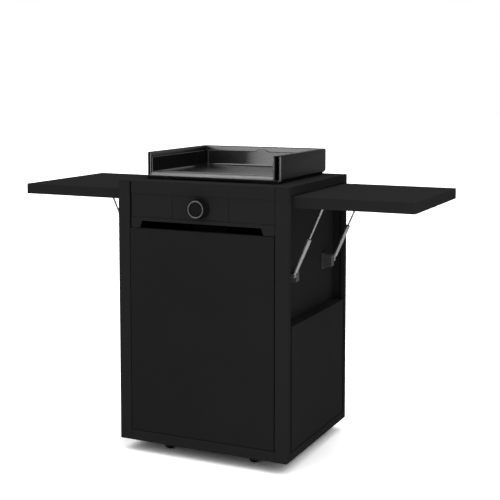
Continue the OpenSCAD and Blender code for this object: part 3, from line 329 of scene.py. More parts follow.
def turned(outline, centre, along, steps):
    """Points and faces of a closed outline of (radius, distance) turned about a line."""
    aim = Vector(along).to_track_quat("Z", "Y")
    points, rows, faces = [], [], []
    for radius, distance in outline:
        count = steps if radius > SAME_SPOT else 1
        rows.append(range(len(points), len(points) + count))
        for k in range(count):
            angle = 2 * math.pi * k / steps
            spot = Vector((radius * math.cos(angle), radius * math.sin(angle), distance))
            points.append(Vector(centre) + aim @ spot)
    for near, far in zip(rows, rows[1:] + rows[:1]):
        if len(near) == 1 and len(far) == 1:
            continue
        for k in range(steps):
            ring = (near[k % len(near)], near[(k + 1) % len(near)],
                    far[(k + 1) % len(far)], far[k % len(far)])
            faces.append(tuple(dict.fromkeys(ring)))
    return points, faces


def gathered(parts):
    """One editable mesh of parts, each of them points and faces."""
    whole = bmesh.new()
    for points, faces in parts:
        corners = [whole.verts.new(point) for point in points]
        for face in faces:
            whole.faces.new([corners[i] for i in face])
    return whole


def smoothed_into(mesh, whole, sharp_above):
    """Writes an editable mesh into a mesh, shaded smooth between its sharp edges."""
    for face in whole.faces:
        face.smooth = True
    for edge in whole.edges:
        edge.smooth = edge.calc_face_angle(0.0) < math.radians(sharp_above)
    whole.to_mesh(mesh)
    whole.free()


def shaped(name, parts, finish, body, sharp_above=32):
    """A piece of the cart from parts of points and faces."""
    whole = gathered(parts)
    bmesh.ops.remove_doubles(whole, verts=whole.verts, dist=SAME_SPOT)
    bmesh.ops.recalc_face_normals(whole, faces=whole.faces)
    mesh = bpy.data.meshes.new(name)
    smoothed_into(mesh, whole, sharp_above)
    mesh.materials.append(finish)
    piece = bpy.data.objects.new(name, mesh)
    bpy.context.scene.collection.objects.link(piece)
    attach(piece, body)
    return piece


FLOW_SIZE = 0.03
moulded_skin, given, made = effect_group(
    "moulded_skin",
    (("Tone", "Color", (0.02, 0.02, 0.02, 1.0)), ("Grain Size", "Float", 0.0006),
     ("Flow", "Float", 0.12), ("Roughness", "Float", 0.5)),
    COLOUR_ROUGHNESS_HEIGHT)
flow = mottle(moulded_skin, FLOW_SIZE, 3.0, given["Flow"])
laid_on(moulded_skin, given, made,
        brightness=worked_out(moulded_skin, "ADD", flow, 1.0),
        roughness=worked_out(moulded_skin, "ADD", flow, given["Roughness"]),
        height=clouds(moulded_skin, given["Grain Size"], detail=1.0))

tread_rubber = finished("tread_rubber", moulded_skin, gloss=0.08, bump=0.2,
                        tone=(0.011, 0.011, 0.011, 1.0), roughness=0.75)
grey_plastic = finished("grey_plastic", moulded_skin, gloss=0.01, bump=0.15,
                        tone=(0.07, 0.07, 0.072, 1.0), roughness=0.5)
TYRE_DEPTH = 0.006
TYRE_INSET = 0.001
TREAD_DROP = 0.002
SHOULDER = 0.0035
AXLE_HOLE = 0.0041
BOSS_RADIUS = 0.009
BOSS_FOOT = 0.0105
HUB_RIM = 0.0015
HUB_RIM_INSET = 0.0005
BOSS_STEP = 0.003
WEB_INSET = 0.0035
WHEEL_STEPS = 64
for end, side in CASTOR_CORNERS:
    node = f"castor_wheel_{end}_{side}"
    low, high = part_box(node)
    middle = (low + high) / 2
    radius = (high.z - low.z) / 2
    half = (high.x - low.x) / 2
    seat = radius - TYRE_DEPTH
    tyre = softened([
        (seat, -half + TYRE_INSET, 0.0005), (radius - TREAD_DROP, -half + TYRE_INSET, 0.0012),
        (radius, -half + SHOULDER + TYRE_INSET, 0.002),
        (radius, half - SHOULDER - TYRE_INSET, 0.002),
        (radius - TREAD_DROP, half - TYRE_INSET, 0.0012), (seat, half - TYRE_INSET, 0.0005)])
    hub = softened([
        (AXLE_HOLE, -half, 0.0003), (BOSS_RADIUS, -half, 0.001),
        (BOSS_FOOT, -half + BOSS_STEP, 0.001), (seat - 2 * HUB_RIM, -half + WEB_INSET, 0.001),
        (seat - HUB_RIM, -half + HUB_RIM_INSET, 0.0006), (seat, -half + HUB_RIM_INSET, 0.0003),
        (seat, half - HUB_RIM_INSET, 0.0003), (seat - HUB_RIM, half - HUB_RIM_INSET, 0.0006),
        (seat - 2 * HUB_RIM, half - WEB_INSET, 0.001), (BOSS_FOOT, half - BOSS_STEP, 0.001),
        (BOSS_RADIUS, half, 0.001), (AXLE_HOLE, half, 0.0003)])
    wheel = f"wheel_{end}_{side}"
    tyre_piece = shaped(f"tyre_{end}_{side}", [turned(tyre, middle, (1, 0, 0), WHEEL_STEPS)],
                        tread_rubber, wheel)
    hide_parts(node)
    shaped(f"hub_{end}_{side}", [turned(hub, middle, (1, 0, 0), WHEEL_STEPS)],
           grey_plastic, wheel)


# The brake pedals are moulded in red plastic round their pins. A bar under the pedal
# bites into the tread when the pedal is pressed.
red_plastic = finished("red_plastic", moulded_skin, gloss=0.45, bump=0.12,
                       tone=(0.28, 0.014, 0.011, 1.0), roughness=0.42)
for side in ("left", "right"):
    dressed(f"brake_pedal_{side}", red_plastic, edge=0.0005)

# Four hollow posts are folded from sheet and coated, and stand at the corners of the tray.
# The front ones are wide, and frame the door and the fascia.
for end in ("front", "rear"):
    dressed(f"{end}_posts", body_paint, edge=0.0005)

# A side panel closes each side. Its lower part has a stepped border, and above the ledge
# it stands back to make the recess that the folded shelf lies in.
for side in ("left", "right"):
    dressed(f"side_panel_{side}", body_paint, edge=0.001)

# The back panel is a plain coated sheet with two columns of vent slots and the hole of the
# cord gland. It closes the cabinet last, when the griddle's leads are in.
dressed("back_panel", body_paint, edge=0.0003)


# Eight zinc-plated pan-head screws hold the back panel to the rear posts. Their heads are
# pressed from steel with a cross recess, and each has stopped at a turn of its own.
def drawn(outline, near, far, place):
    """Points and faces of a flat outline drawn from near to far along the Z of a place."""
    count = len(outline)
    points = [place @ Vector((x, y, z)) for z in (near, far) for x, y in outline]
    faces = [tuple(range(count - 1, -1, -1)), tuple(range(count, 2 * count))]
    faces += [(k, (k + 1) % count, count + (k + 1) % count, count + k) for k in range(count)]
    return points, faces


def cut_out(piece, parts):
    """Cuts closed parts out of a piece."""
    tool_mesh = bpy.data.meshes.new("tool")
    solid = gathered(parts)
    bmesh.ops.recalc_face_normals(solid, faces=solid.faces)
    solid.to_mesh(tool_mesh)
    solid.free()
    tool = bpy.data.objects.new("tool", tool_mesh)
    bpy.context.scene.collection.objects.link(tool)
    cut = piece.modifiers.new("cut", "BOOLEAN")
    cut.operation = "DIFFERENCE"
    cut.solver = "EXACT"
    cut.object = tool
    bpy.context.view_layer.update()
    result = bpy.data.meshes.new_from_object(
        piece.evaluated_get(bpy.context.evaluated_depsgraph_get()))
    piece.modifiers.remove(cut)
    bpy.data.objects.remove(tool)
    result.name = piece.data.name
    piece.data = result


def evenly_shaded(piece, sharp_above=32):
    """Marks the sharp edges of a piece again after it was cut."""
    whole = bmesh.new()
    whole.from_mesh(piece.data)
    bmesh.ops.remove_doubles(whole, verts=whole.verts, dist=SAME_SPOT)
    bmesh.ops.dissolve_degenerate(whole, edges=whole.edges, dist=SAME_SPOT)
    smoothed_into(piece.data, whole, sharp_above)


HEAD_RADIUS = 0.0045
HEAD_HEIGHT = 0.0024
HEAD_SIDE = 0.0014
RECESS_DEPTH = 0.0013
BLADE_REACH = 0.0022
BLADE_HALF = 0.0004
BLADE_PAST = 0.001
SCREW_ROWS = 4
ROW_TWIST = 0.7
low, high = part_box("back_screws")
head = softened([(0, 0, 0), (HEAD_RADIUS, 0, 0.0002), (HEAD_RADIUS, HEAD_SIDE, 0.0012),
                 (0, HEAD_HEIGHT, 0)])
blade = [(-BLADE_REACH, -BLADE_HALF), (BLADE_REACH, -BLADE_HALF),
         (BLADE_REACH, BLADE_HALF), (-BLADE_REACH, BLADE_HALF)]
heads, recesses = [], []
for column in (low.x + HEAD_RADIUS, high.x - HEAD_RADIUS):
    for row in range(SCREW_ROWS):
        height = low.z + HEAD_RADIUS + (high.z - low.z - 2 * HEAD_RADIUS) * row / (SCREW_ROWS - 1)
        spot = Vector((column, low.y, height))
        heads.append(turned(head, spot, (0, 1, 0), 32))
        twist = Matrix.Rotation(ROW_TWIST * row + column, 4, "Y")
        for quarter in (0, math.pi / 2):
            place = (Matrix.Translation(spot) @ twist @ Matrix.Rotation(quarter, 4, "Y")
                     @ Matrix.Rotation(math.radians(-90), 4, "X"))
            recesses.append(
                drawn(blade, HEAD_HEIGHT - RECESS_DEPTH, HEAD_HEIGHT + BLADE_PAST, place))
screws = shaped("back_screw_heads", heads, zinc_steel, "cart")
cut_out(screws, recesses[0::2])
cut_out(screws, recesses[1::2])
evenly_shaded(screws)
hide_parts("back_screws")

# The tray's front sill is welded to the round corners of the posts from behind. A flat
# bead runs down each joint and is coated over with the rest.
POST_WIDTH = 0.0415
SILL_SHEET = 0.0021
BEAD_WIDTH = 0.0026
BEAD_DEPTH = 0.0022
BEAD_BITE = 0.0004
BEAD_FOOT = 0.0015
BEAD_LAP = 0.0003
low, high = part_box("front_posts")
sill_low, sill_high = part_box("base_tray")
bead = softened([(-BEAD_WIDTH, 0, 0), (BEAD_BITE, 0, 0), (BEAD_BITE, BEAD_DEPTH, 0),
                 (-BEAD_WIDTH / 2, BEAD_DEPTH, 0.0008), (-BEAD_WIDTH, 0.0008, 0.0004)])
beads = [drawn([(sign * (high.x - POST_WIDTH + x), low.y + SILL_SHEET + y) for x, y in bead],
               sill_low.z + BEAD_FOOT, sill_high.z - SILL_SHEET + BEAD_LAP, Matrix())
         for sign in (-1, 1)]
shaped("sill_welds", beads, body_paint, "cart")

# The gland is black moulded plastic, clamped in the back panel by a hexagonal nut inside.
# Its cord isn't part of the cart, so it stands empty.
black_plastic = finished("black_plastic", moulded_skin, gloss=0.15, bump=0.12,
                         tone=(0.014, 0.014, 0.0145, 1.0), roughness=0.45)
dressed("cord_gland", black_plastic, edge=0.0006)

# The worktop is one coated sheet with its flanges folded down at the front, sides and back.
# It is cut out for the griddle and welded to the posts.
dressed("worktop", body_paint, edge=0.0011, rounds=3)

# The grip rail above the door is folded from coated sheet. Its long slot with slanted ends
# is where the fingers reach in to pull the door.
dressed("grip_rail", body_paint, edge=0.0006)

# Three fascia sheets close the front above the rail. The middle one is the griddle's own
# control panel, which the knob's spindle comes through.
for name in ("fascia_left", "fascia_right", "control_panel"):
    dressed(name, body_paint, edge=0.0006)

# The loose shelf inside the cabinet and the inner sheet of the door are coated in the same
# paint, but more thinly, so they dry darker and more matt.
inner_paint = finished("inner_paint", powder_coat, gloss=0.0, bump=0.14,
                       tone=(0.013, 0.013, 0.0131, 1.0), roughness=0.7)
dressed("inner_shelf", inner_paint, edge=0.001)

# The door is a folded and coated tray. It hangs on two steel pins that turn in plastic
# bushes, and a magnet under the rail holds its strike plate.
# The door's paint is given a darker tone than the body paint, which is painted shade.
shaded_door_paint = finished("shaded_door_paint", powder_coat, gloss=0.0, bump=0.12,
                      tone=(0.017, 0.017, 0.0172, 1.0), cloud_size=0.4, cloud=0.3)
pale_plastic = finished("pale_plastic", moulded_skin, gloss=0.4, bump=0.1,
                        tone=(0.7, 0.66, 0.55, 1.0), roughness=0.5, flow=0.05)
dressed("door_skin", shaded_door_paint, edge=0.001, rounds=3)
dressed("door_liner", inner_paint, edge=0.0008)
dressed("door_bushes", pale_plastic, edge=0.0003)
dressed("door_pivots", inner_paint, edge=0.0003)
dressed("door_strike", zinc_steel, edge=0.0003)
dressed("door_magnet", black_plastic, edge=0.0006)

# Each side shelf is a coated tray with returned edges and two stiffening channels. Its
# hinges are zinc-plated and passivated black: two leaves and their knuckles on one pin.
black_zinc = finished("black_zinc", plated_metal, gloss=0.0, bump=0.05,
                      tone=(0.018, 0.018, 0.0185, 1.0), roughness=0.6)
dressed("shelf_hinges", black_zinc, edge=0.0003)
for side in ("left", "right"):
    dressed(f"shelf_{side}", body_paint, edge=0.0011, rounds=3)
    dressed(f"shelf_fittings_{side}", black_zinc, edge=0.0003)

# The struts stand on four brackets moulded in grey plastic, which are bolted to the wall of
# the recess. A steel stud through each bracket carries the strut's eye.
dressed("strut_brackets", grey_plastic, edge=0.001, rounds=3)

# A gas strut is a drawn steel tube in satin grey with a rolled groove below its crimped
# end, a black wiper, and a ground and chromed rod. Both end in a turned eye on a stud.
strut_metal = finished("strut_metal", plated_metal, gloss=0.1, bump=0.03, metal=0.6,
                       edge_tone=0.1, tone=(0.2, 0.2, 0.2, 1.0), roughness=0.3, bloom=0.08)
rod_chrome = finished("rod_chrome", plated_metal, gloss=0.1, bump=0.01, metal=0.8,
                      edge_tone=0.1, tone=(0.16, 0.16, 0.16, 1.0), roughness=0.2, bloom=0.04)
wiper_rubber = finished("wiper_rubber", moulded_skin, gloss=0.1, bump=0.1,
                        tone=(0.012, 0.012, 0.012, 1.0), roughness=0.6)
STUD_RADIUS = 0.00405
EYE_RADIUS = 0.0075
EYE_HALF = 0.0055
TUBE_RADIUS = 0.0073
TUBE_BORE = 0.0063
TUBE_LENGTH = 0.128
GROOVE_RADIUS = 0.0069
MOUTH_RADIUS = 0.0047
ROD_RADIUS = 0.003
ROD_HOLE = 0.0034
PISTON_RADIUS = 0.006
FERRULE_RADIUS = 0.0045
SEAL_RADIUS = 0.00306
TURN_STEPS = 40
eye = softened([(STUD_RADIUS, -EYE_HALF, 0.0003), (EYE_RADIUS, -EYE_HALF, 0.0008),
                (EYE_RADIUS, EYE_HALF, 0.0008), (STUD_RADIUS, EYE_HALF, 0.0003)])
neck = softened([(0, 0.0052, 0), (0.005, 0.0052, 0.0004), (0.005, 0.0132, 0.0004), (0, 0.0132, 0)])
tube = softened([
    (0, 0.0126, 0), (0.0058, 0.0126, 0.0006), (TUBE_RADIUS, 0.0145, 0.0014),
    (TUBE_RADIUS, 0.1195, 0.0004), (GROOVE_RADIUS, 0.1203, 0.0004),
    (GROOVE_RADIUS, 0.1211, 0.0004), (TUBE_RADIUS, 0.1219, 0.0004),
    (TUBE_RADIUS, 0.126, 0.0016), (0.0056, TUBE_LENGTH, 0.0006),
    (MOUTH_RADIUS, TUBE_LENGTH, 0.0001), (MOUTH_RADIUS, 0.1262, 0.0001),
    (ROD_HOLE, 0.1262, 0.0001), (ROD_HOLE, 0.117, 0.0001), (TUBE_BORE, 0.117, 0.0002),
    (TUBE_BORE, 0.0156, 0.0004), (0, 0.0156, 0)])
wiper = softened([(SEAL_RADIUS, 0.1265, 0.0001), (0.0046, 0.1265, 0.0001),
                  (0.0046, 0.1283, 0.0005), (0.0036, 0.1295, 0.0003),
                  (SEAL_RADIUS, 0.1295, 0.0001)])
for side, sign in (("left", -1), ("right", 1)):
    for end in ("front", "rear"):
        low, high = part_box(f"strut_tube_{side}_{end}")
        rod_low, rod_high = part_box(f"strut_rod_{side}_{end}")
        plane = (low.y + high.y) / 2
        foot_x = min(low.x, high.x, key=abs) + sign * EYE_RADIUS
        foot = Vector((foot_x, plane, low.z + EYE_RADIUS))
        head_x = max(rod_low.x, rod_high.x, key=abs) - sign * EYE_RADIUS
        head = Vector((head_x, plane, rod_high.z - EYE_RADIUS))
        along = (head - foot).normalized()
        reach = (head - foot).length
        rod = softened([
            (0, 0.1082, 0), (PISTON_RADIUS, 0.1082, 0.0005), (PISTON_RADIUS, 0.1138, 0.0005),
            (ROD_RADIUS, 0.1138, 0.0002), (ROD_RADIUS, reach - 0.0165, 0.0001),
            (0, reach - 0.0165, 0)])
        ferrule = softened([
            (0, reach - 0.0175, 0), (0.0036, reach - 0.0175, 0.0004),
            (FERRULE_RADIUS, reach - 0.0162, 0.0005), (FERRULE_RADIUS, reach - 0.0065, 0.0004),
            (0, reach - 0.0065, 0)])
        tube_body, rod_body = f"strut_tube_{side}_{end}", f"strut_rod_{side}_{end}"
        tube_piece = shaped(f"tube_{side}_{end}",
                            [turned(tube, foot, along, 48), turned(neck, foot, along, TURN_STEPS),
                             turned(eye, foot, (0, 1, 0), TURN_STEPS)],
                            strut_metal, tube_body)
        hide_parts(tube_body)
        shaped(f"wiper_{side}_{end}", [turned(wiper, foot, along, TURN_STEPS)],
               wiper_rubber, tube_body)
        rod_piece = shaped(f"rod_{side}_{end}", [turned(rod, foot, along, TURN_STEPS)],
                           rod_chrome, rod_body)
        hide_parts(rod_body)
        shaped(f"rod_end_{side}_{end}",
               [turned(ferrule, foot, along, TURN_STEPS),
                turned(eye, head, (0, 1, 0), TURN_STEPS)],
               zinc_steel, rod_body)

# The griddle's housing is a thin tub of painted steel, which carries everything that heats.
# It is let into the worktop from above and hangs there by its hollow rim.
housing_paint = finished("housing_paint", powder_coat, gloss=0.0, bump=0.1,
                         tone=(0.01, 0.01, 0.01, 1.0), roughness=0.5)
dressed("griddle_housing", housing_paint, edge=0.0006)

# Inside it lie a bright reflector tray, the sheathed element, the sensor bulb with its
# copper capillary, the thermostat behind the panel, and the ceramic terminal block.
bright_steel = finished("bright_steel", plated_metal, gloss=0.5, bump=0.04, metal=1.0,
                        edge_tone=0.5, tone=(0.36, 0.36, 0.355, 1.0), roughness=0.28, bloom=0.25)
element_sheath = finished("element_sheath", plated_metal, gloss=0.1, bump=0.1, metal=0.6,
                          edge_tone=0.3, tone=(0.09, 0.084, 0.078, 1.0), roughness=0.5, bloom=0.6)
dull_copper = finished("dull_copper", plated_metal, gloss=0.5, bump=0.05, metal=1.0,
                       tone=(0.5, 0.25, 0.12, 1.0), roughness=0.38, bloom=0.5)
dressed("reflector_tray", bright_steel, edge=0.0004)
dressed("heating_element", element_sheath, edge=0)
dressed("sensor_bulb", dull_copper, edge=0)
dressed("thermostat", pale_plastic, edge=0.0005)
dressed("terminal_block", pale_plastic, edge=0.0004)

# The drip cup is pressed from sheet and painted like the housing. It hangs by its rims in
# two thinly painted runners, and slides in them.
dressed("cup_runners", inner_paint, edge=0.0004)
dressed("drip_cup", housing_paint, edge=0.0005)

# The cooking plate is pressed from thick steel and enamelled black: a flat floor, a rim
# on three sides with a centre tab, and a rolled front edge over the slot of the housing.
# The enamel flows out smooth, so it has soft waves and a gloss the powder coat lacks.
HAZE_SIZE = 0.09
enamel_skin, given, made = effect_group(
    "enamel_skin",
    (("Tone", "Color", (0.02, 0.02, 0.021, 1.0)), ("Wave Size", "Float", 0.009),
     ("Speck Size", "Float", 0.0007), ("Haze", "Float", 0.3), ("Roughness", "Float", 0.2)),
    COLOUR_ROUGHNESS_HEIGHT)
waves = clouds(enamel_skin, given["Wave Size"], detail=1.0)
specks = clouds(enamel_skin, given["Speck Size"], detail=1.0)
haze = mottle(enamel_skin, HAZE_SIZE, 4.0, given["Haze"])
laid_on(enamel_skin, given, made,
        brightness=worked_out(enamel_skin, "ADD", haze, 1.0),
        roughness=worked_out(enamel_skin, "MULTIPLY_ADD", haze, 0.25, given["Roughness"]),
        height=worked_out(enamel_skin, "MULTIPLY_ADD", specks, 0.12, waves))

enamel = finished("enamel", enamel_skin, gloss=0.3, bump=0.012, depth=0.0004,
                  tone=(0.004, 0.004, 0.0041, 1.0), roughness=0.2, haze=0.2)
# A copy of the enamel with a tone three times lighter, for the rolled edge and the guard's hems: a
# painted highlight, since the enamel there is the same.
painted_highlight_enamel = finished("painted_highlight_enamel", enamel_skin, gloss=0.5, bump=0.012, depth=0.0004,
                         tone=(0.012, 0.012, 0.0121, 1.0), roughness=0.32, haze=0.2)
ground_coat = finished("ground_coat", enamel_skin, gloss=0.0, bump=0.05, depth=0.0004,
                       tone=(0.006, 0.006, 0.006, 1.0), roughness=0.7)
GUARD_WALL = 0.018
PLAY = 0.0003
TAB_RISE = 0.009
TAB_HALF = 0.025
TAB_TOP_HALF = 0.0115
FLOOR_RISE = 0.0077
FLOOR_THICKNESS = 0.006
RIM_WALL = 0.0025
RIM_CORNER = 0.010
RIM_SET_BACK = 0.004
COVE = 0.006
BEAD_RADIUS = 0.0014
BEAD_SINK = 0.0008
NOSE_RADIUS = 0.013
SKIRT_EDGE = 0.0045
SKIRT_THICKNESS = 0.0038
SKIRT_WIDTH = 0.0218
SLOT_HALF = 0.1375
SPOUT_BORE = 0.010
HAIRLINE = 0.0001
SHARP_ENAMEL = 40
plate_low, plate_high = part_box("cooking_plate")
spout_low, spout_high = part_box("drain_spout")
guard_low, guard_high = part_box("splash_guard")
rim_x = guard_high.x - GUARD_WALL - PLAY
rim_y = guard_high.y - GUARD_WALL - PLAY
rim_top = plate_high.z - TAB_RISE
skirt_top = guard_low.z - PLAY
floor_top = guard_low.z + FLOOR_RISE
nose = Vector((0, plate_low.y + NOSE_RADIUS, plate_low.z + NOSE_RADIUS))
SMALLEST_BEND = 0.002
BEND_STEPS = 6


def three_sides(inset, half_width, front, back, corner):
    """A line that runs back, across and forward again, as far inside as inset."""
    x, y, radius = half_width - inset, back - inset, max(corner - inset, SMALLEST_BEND)
    line = [Vector((-x, front))]
    for k in range(BEND_STEPS + 1):
        angle = math.pi - math.pi / 2 * k / BEND_STEPS
        line.append(Vector((-x + radius + radius * math.cos(angle),
                            y - radius + radius * math.sin(angle))))
    return line + [Vector((-spot.x, spot.y)) for spot in reversed(line)]


def bent_round(section, half_width, front, back, corner):
    """Points and faces of a closed section of (inset, height) led along three sides."""
    rows = [[(*spot, height) for spot in three_sides(inset, half_width, front, back, corner)]
            for inset, height in section]
    points = [spot for row in rows for spot in row]
    width, count = len(rows[0]), len(rows)
    faces = [(i * width + k, i * width + k + 1, (i + 1) % count * width + k + 1,
              (i + 1) % count * width + k) for i in range(count) for k in range(width - 1)]
    faces += [tuple(i * width for i in range(count)),
              tuple(i * width + width - 1 for i in reversed(range(count)))]
    return points, faces


def arc(centre, radius, first, last, steps=6):
    """Points of an arc between two angles in degrees."""
    return [(centre[0] + radius * math.cos(math.radians(first + (last - first) * k / steps)),
             centre[1] + radius * math.sin(math.radians(first + (last - first) * k / steps)))
            for k in range(steps + 1)]


wall = [(0, skirt_top), (0, rim_top - BEAD_SINK), (RIM_WALL, rim_top - BEAD_SINK),
        (RIM_WALL, floor_top + COVE)]
wall += arc((RIM_WALL + COVE, floor_top + COVE), COVE, 180, 270)
wall += [(RIM_WALL + COVE, floor_top - FLOOR_THICKNESS), (RIM_WALL + COVE, skirt_top)]
plate_rim = shaped(
    "plate_rim", [bent_round(wall, rim_x, guard_low.y + RIM_SET_BACK, rim_y, RIM_CORNER)],
    enamel, "cooking_plate", SHARP_ENAMEL)
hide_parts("cooking_plate")

tab_crest = [(TAB_HALF, 0, 0.004), (TAB_TOP_HALF, TAB_RISE - BEAD_SINK, 0.004),
             (-TAB_TOP_HALF, TAB_RISE - BEAD_SINK, 0.004), (-TAB_HALF, 0, 0.004)]
tab_foot = [(-TAB_HALF, -0.002, 0), (TAB_HALF, -0.002, 0)]
on_rear_wall = Matrix.Translation((0, rim_y, rim_top)) @ Matrix.Rotation(math.pi / 2, 4, "X")
shaped("plate_tab",
       [drawn(softened(tab_foot + tab_crest), HAIRLINE / 2, RIM_WALL - HAIRLINE / 2, on_rear_wall)],
       enamel, "cooking_plate", SHARP_ENAMEL)

# The rim's rolled bead climbs over the tab. Two far points below it give the bead an easy
# bend where it leaves the straight, and are then dropped.
far_below = [(-0.2, -0.1, 0), (0.2, -0.1, 0)]
over_tab = [Vector((x, rim_y - RIM_WALL / 2, rim_top + z))
            for x, z in softened(far_below + tab_crest)[len(far_below):]]
over_tab.sort(key=lambda spot: spot.x)
rim_line = [Vector((*spot, rim_top)) for spot in
            three_sides(RIM_WALL / 2, rim_x, guard_low.y + RIM_SET_BACK + 0.0005, rim_y,
                        RIM_CORNER)]
half_way = len(rim_line) // 2
bead_spots = rim_line[:half_way] + over_tab + rim_line[half_way:]
bead_curve = bpy.data.curves.new("plate_rim_bead", "CURVE")
bead_curve.dimensions = "3D"
bead_curve.bevel_depth = BEAD_RADIUS
bead_curve.bevel_resolution = 4
bead_curve.use_fill_caps = True
bead_line = bead_curve.splines.new("POLY")
bead_line.points.add(len(bead_spots) - 1)
for point, spot in zip(bead_line.points, bead_spots):
    point.co = (*(spot - Vector((0, 0, BEAD_RADIUS))), 1.0)
bead_curve.materials.append(enamel)
rim_bead = bpy.data.objects.new("plate_rim_bead", bead_curve)
bpy.context.scene.collection.objects.link(rim_bead)
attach(rim_bead, "cooking_plate")

# The floor turns down through a cove into the rolled edge. Beside the slot the edge stands
# on the housing's rim with two low feet, and its ends run on under the guard.
HOUSING_RIM = 0.0062
FOOT_ANGLE = 208
FOOT_SLOPE = 0.5
BORE_BOTTOM = 0.85
BORE_TOP = 0.95
rise = floor_top + COVE - nose.z
run = math.sqrt((NOSE_RADIUS + COVE) ** 2 - rise ** 2)
tangent = math.degrees(math.atan2(rise, run))
rim_of_housing = guard_low.y + HOUSING_RIM
lip_angle = 180 + math.degrees(math.acos((nose.y - rim_of_housing) / NOSE_RADIUS))
skirt_bottom = skirt_top - SKIRT_THICKNESS
rolled = arc((nose.y + run, floor_top + COVE), COVE, -90, tangent - 180)
rolled += arc((nose.y, nose.z), NOSE_RADIUS, tangent, lip_angle, 36)[1:]
rolled += [(rim_of_housing, skirt_bottom), (nose.y + run, skirt_bottom)]
low_angle = 180 + math.degrees(math.asin((nose.z - skirt_top) / NOSE_RADIUS))
low_end = arc((nose.y, nose.z), NOSE_RADIUS, low_angle, lip_angle, 10)
low_end += [(rim_of_housing, skirt_bottom), (nose.y + run, skirt_bottom),
            (nose.y + run, skirt_top)]
foot_y, foot_z = arc((nose.y, nose.z), NOSE_RADIUS, FOOT_ANGLE, FOOT_ANGLE)[0]
foot_level = plate_low.z - HAIRLINE
foot = [(foot_y, foot_z), (foot_y + (foot_z - foot_level) * FOOT_SLOPE, foot_level),
        (rim_of_housing + HAIRLINE, foot_level), (rim_of_housing + HAIRLINE, foot_z)]
across = Matrix(((0, 0, 1, 0), (1, 0, 0, 0), (0, 1, 0, 0), (0, 0, 0, 1)))
nose_half = rim_x - 2 * HAIRLINE
nose_end = plate_high.x
# The rolled edge and its ends carry the lighter copy of the enamel, a painted highlight.
rolled_edge = shaped("plate_rolled_edge", [drawn(rolled, -nose_half, nose_half, across)],
                     painted_highlight_enamel, "cooking_plate", SHARP_ENAMEL)
shaped("plate_rolled_ends",
       [drawn(low_end, nose_half, nose_end, across), drawn(low_end, -nose_end, -nose_half, across),
        drawn(foot, SLOT_HALF, nose_end, across), drawn(foot, -nose_end, -SLOT_HALF, across)],
       painted_highlight_enamel, "cooking_plate", SHARP_ENAMEL)
floor_line = three_sides(RIM_WALL + COVE - 2 * HAIRLINE, rim_x, nose.y + run - 2 * HAIRLINE, rim_y,
                         RIM_CORNER)
plate_floor = shaped("plate_floor",
                     [drawn([tuple(spot) for spot in floor_line], floor_top - FLOOR_THICKNESS,
                            floor_top - HAIRLINE / 5, Matrix())],
                     enamel, "cooking_plate", SHARP_ENAMEL)
spout_middle = (spout_low + spout_high) / 2
bore = [(0, BORE_BOTTOM), (SPOUT_BORE, BORE_BOTTOM), (SPOUT_BORE, BORE_TOP), (0, BORE_TOP)]
for pierced in (rolled_edge, plate_floor):
    cut_out(pierced, [turned(bore, (0, spout_middle.y, 0), (0, 0, 1), 48)])
    evenly_shaded(pierced, SHARP_ENAMEL)

skirt = [(0, skirt_bottom), (0, skirt_top - HAIRLINE), (SKIRT_WIDTH, skirt_top - HAIRLINE),
         (SKIRT_WIDTH, skirt_bottom)]
shaped("plate_skirt", [bent_round(skirt, guard_high.x - SKIRT_EDGE, nose.y + run,
                                  guard_high.y - SKIRT_EDGE, RIM_CORNER)],
       ground_coat, "cooking_plate", SHARP_ENAMEL)
dressed("drain_spout", bright_steel, edge=0.0003)

# The splash guard is one steel sheet, folded over into a hollow wall on three sides. It is
# enamelled inside and on its hemmed front edges, and coated in a dull black outside. It
# slips over the plate's rim, and its open ends are cut a little slanting.
GUARD_SHEET = 0.002
GUARD_CORNER = 0.012
GUARD_CLIP = 0.014
END_SLANT = 0.012
INNER_HEM = 0.004
OUTER_HEM = 0.003
HEM_DEPTH = 0.009
HEM_DROP = 0.003
FOLD_RADIUS = 0.003
PAST = 0.001
FAR_PAST = 0.02
guard_paint = finished("guard_paint", enamel_skin, gloss=0.008, bump=0.03,
                       tone=(0.011, 0.011, 0.0111, 1.0), roughness=0.35, wave_size=0.014)
bottom, top = guard_low.z, guard_high.z
fold = softened([
    (0, bottom, 0), (0, top, FOLD_RADIUS), (GUARD_WALL, top, FOLD_RADIUS),
    (GUARD_WALL, bottom, 0), (GUARD_WALL - GUARD_SHEET, bottom, 0),
    (GUARD_WALL - GUARD_SHEET, top - GUARD_SHEET, FOLD_RADIUS / 3),
    (GUARD_SHEET, top - GUARD_SHEET, FOLD_RADIUS / 3), (GUARD_SHEET, bottom, 0)])
guard = shaped(
    "guard_wall", [bent_round(fold, guard_high.x, guard_low.y, guard_high.y, GUARD_CORNER)],
    guard_paint, "splash_guard", SHARP_ENAMEL)
clip = [(guard_high.y - GUARD_CLIP, bottom), (guard_high.y - GUARD_CLIP, bottom - PAST),
        (guard_high.y + PAST, bottom - PAST), (guard_high.y + PAST, bottom + GUARD_CLIP),
        (guard_high.y, bottom + GUARD_CLIP)]
offcuts = [drawn(clip, guard_low.x - PAST, guard_high.x + PAST, across)]
for sign in (-1, 1):
    inner_x, outer_x = sign * (guard_high.x - GUARD_WALL - PAST), sign * (guard_high.x + PAST)
    slant = [(inner_x, guard_low.y - FAR_PAST), (outer_x, guard_low.y - FAR_PAST),
             (outer_x, guard_low.y + END_SLANT), (inner_x, guard_low.y)]
    offcuts.append(drawn(slant, bottom - PAST, top + PAST, Matrix()))
cut_out(guard, offcuts)
evenly_shaded(guard, SHARP_ENAMEL)
guard.data.materials.append(enamel)
for face in guard.data.polygons:
    inside_x = abs(face.center.x) < guard_high.x - GUARD_WALL + 4 * HAIRLINE
    inside_y = face.center.y < guard_high.y - GUARD_WALL + 4 * HAIRLINE
    if inside_x and inside_y:
        face.material_index = 1
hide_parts("splash_guard")
hems = []
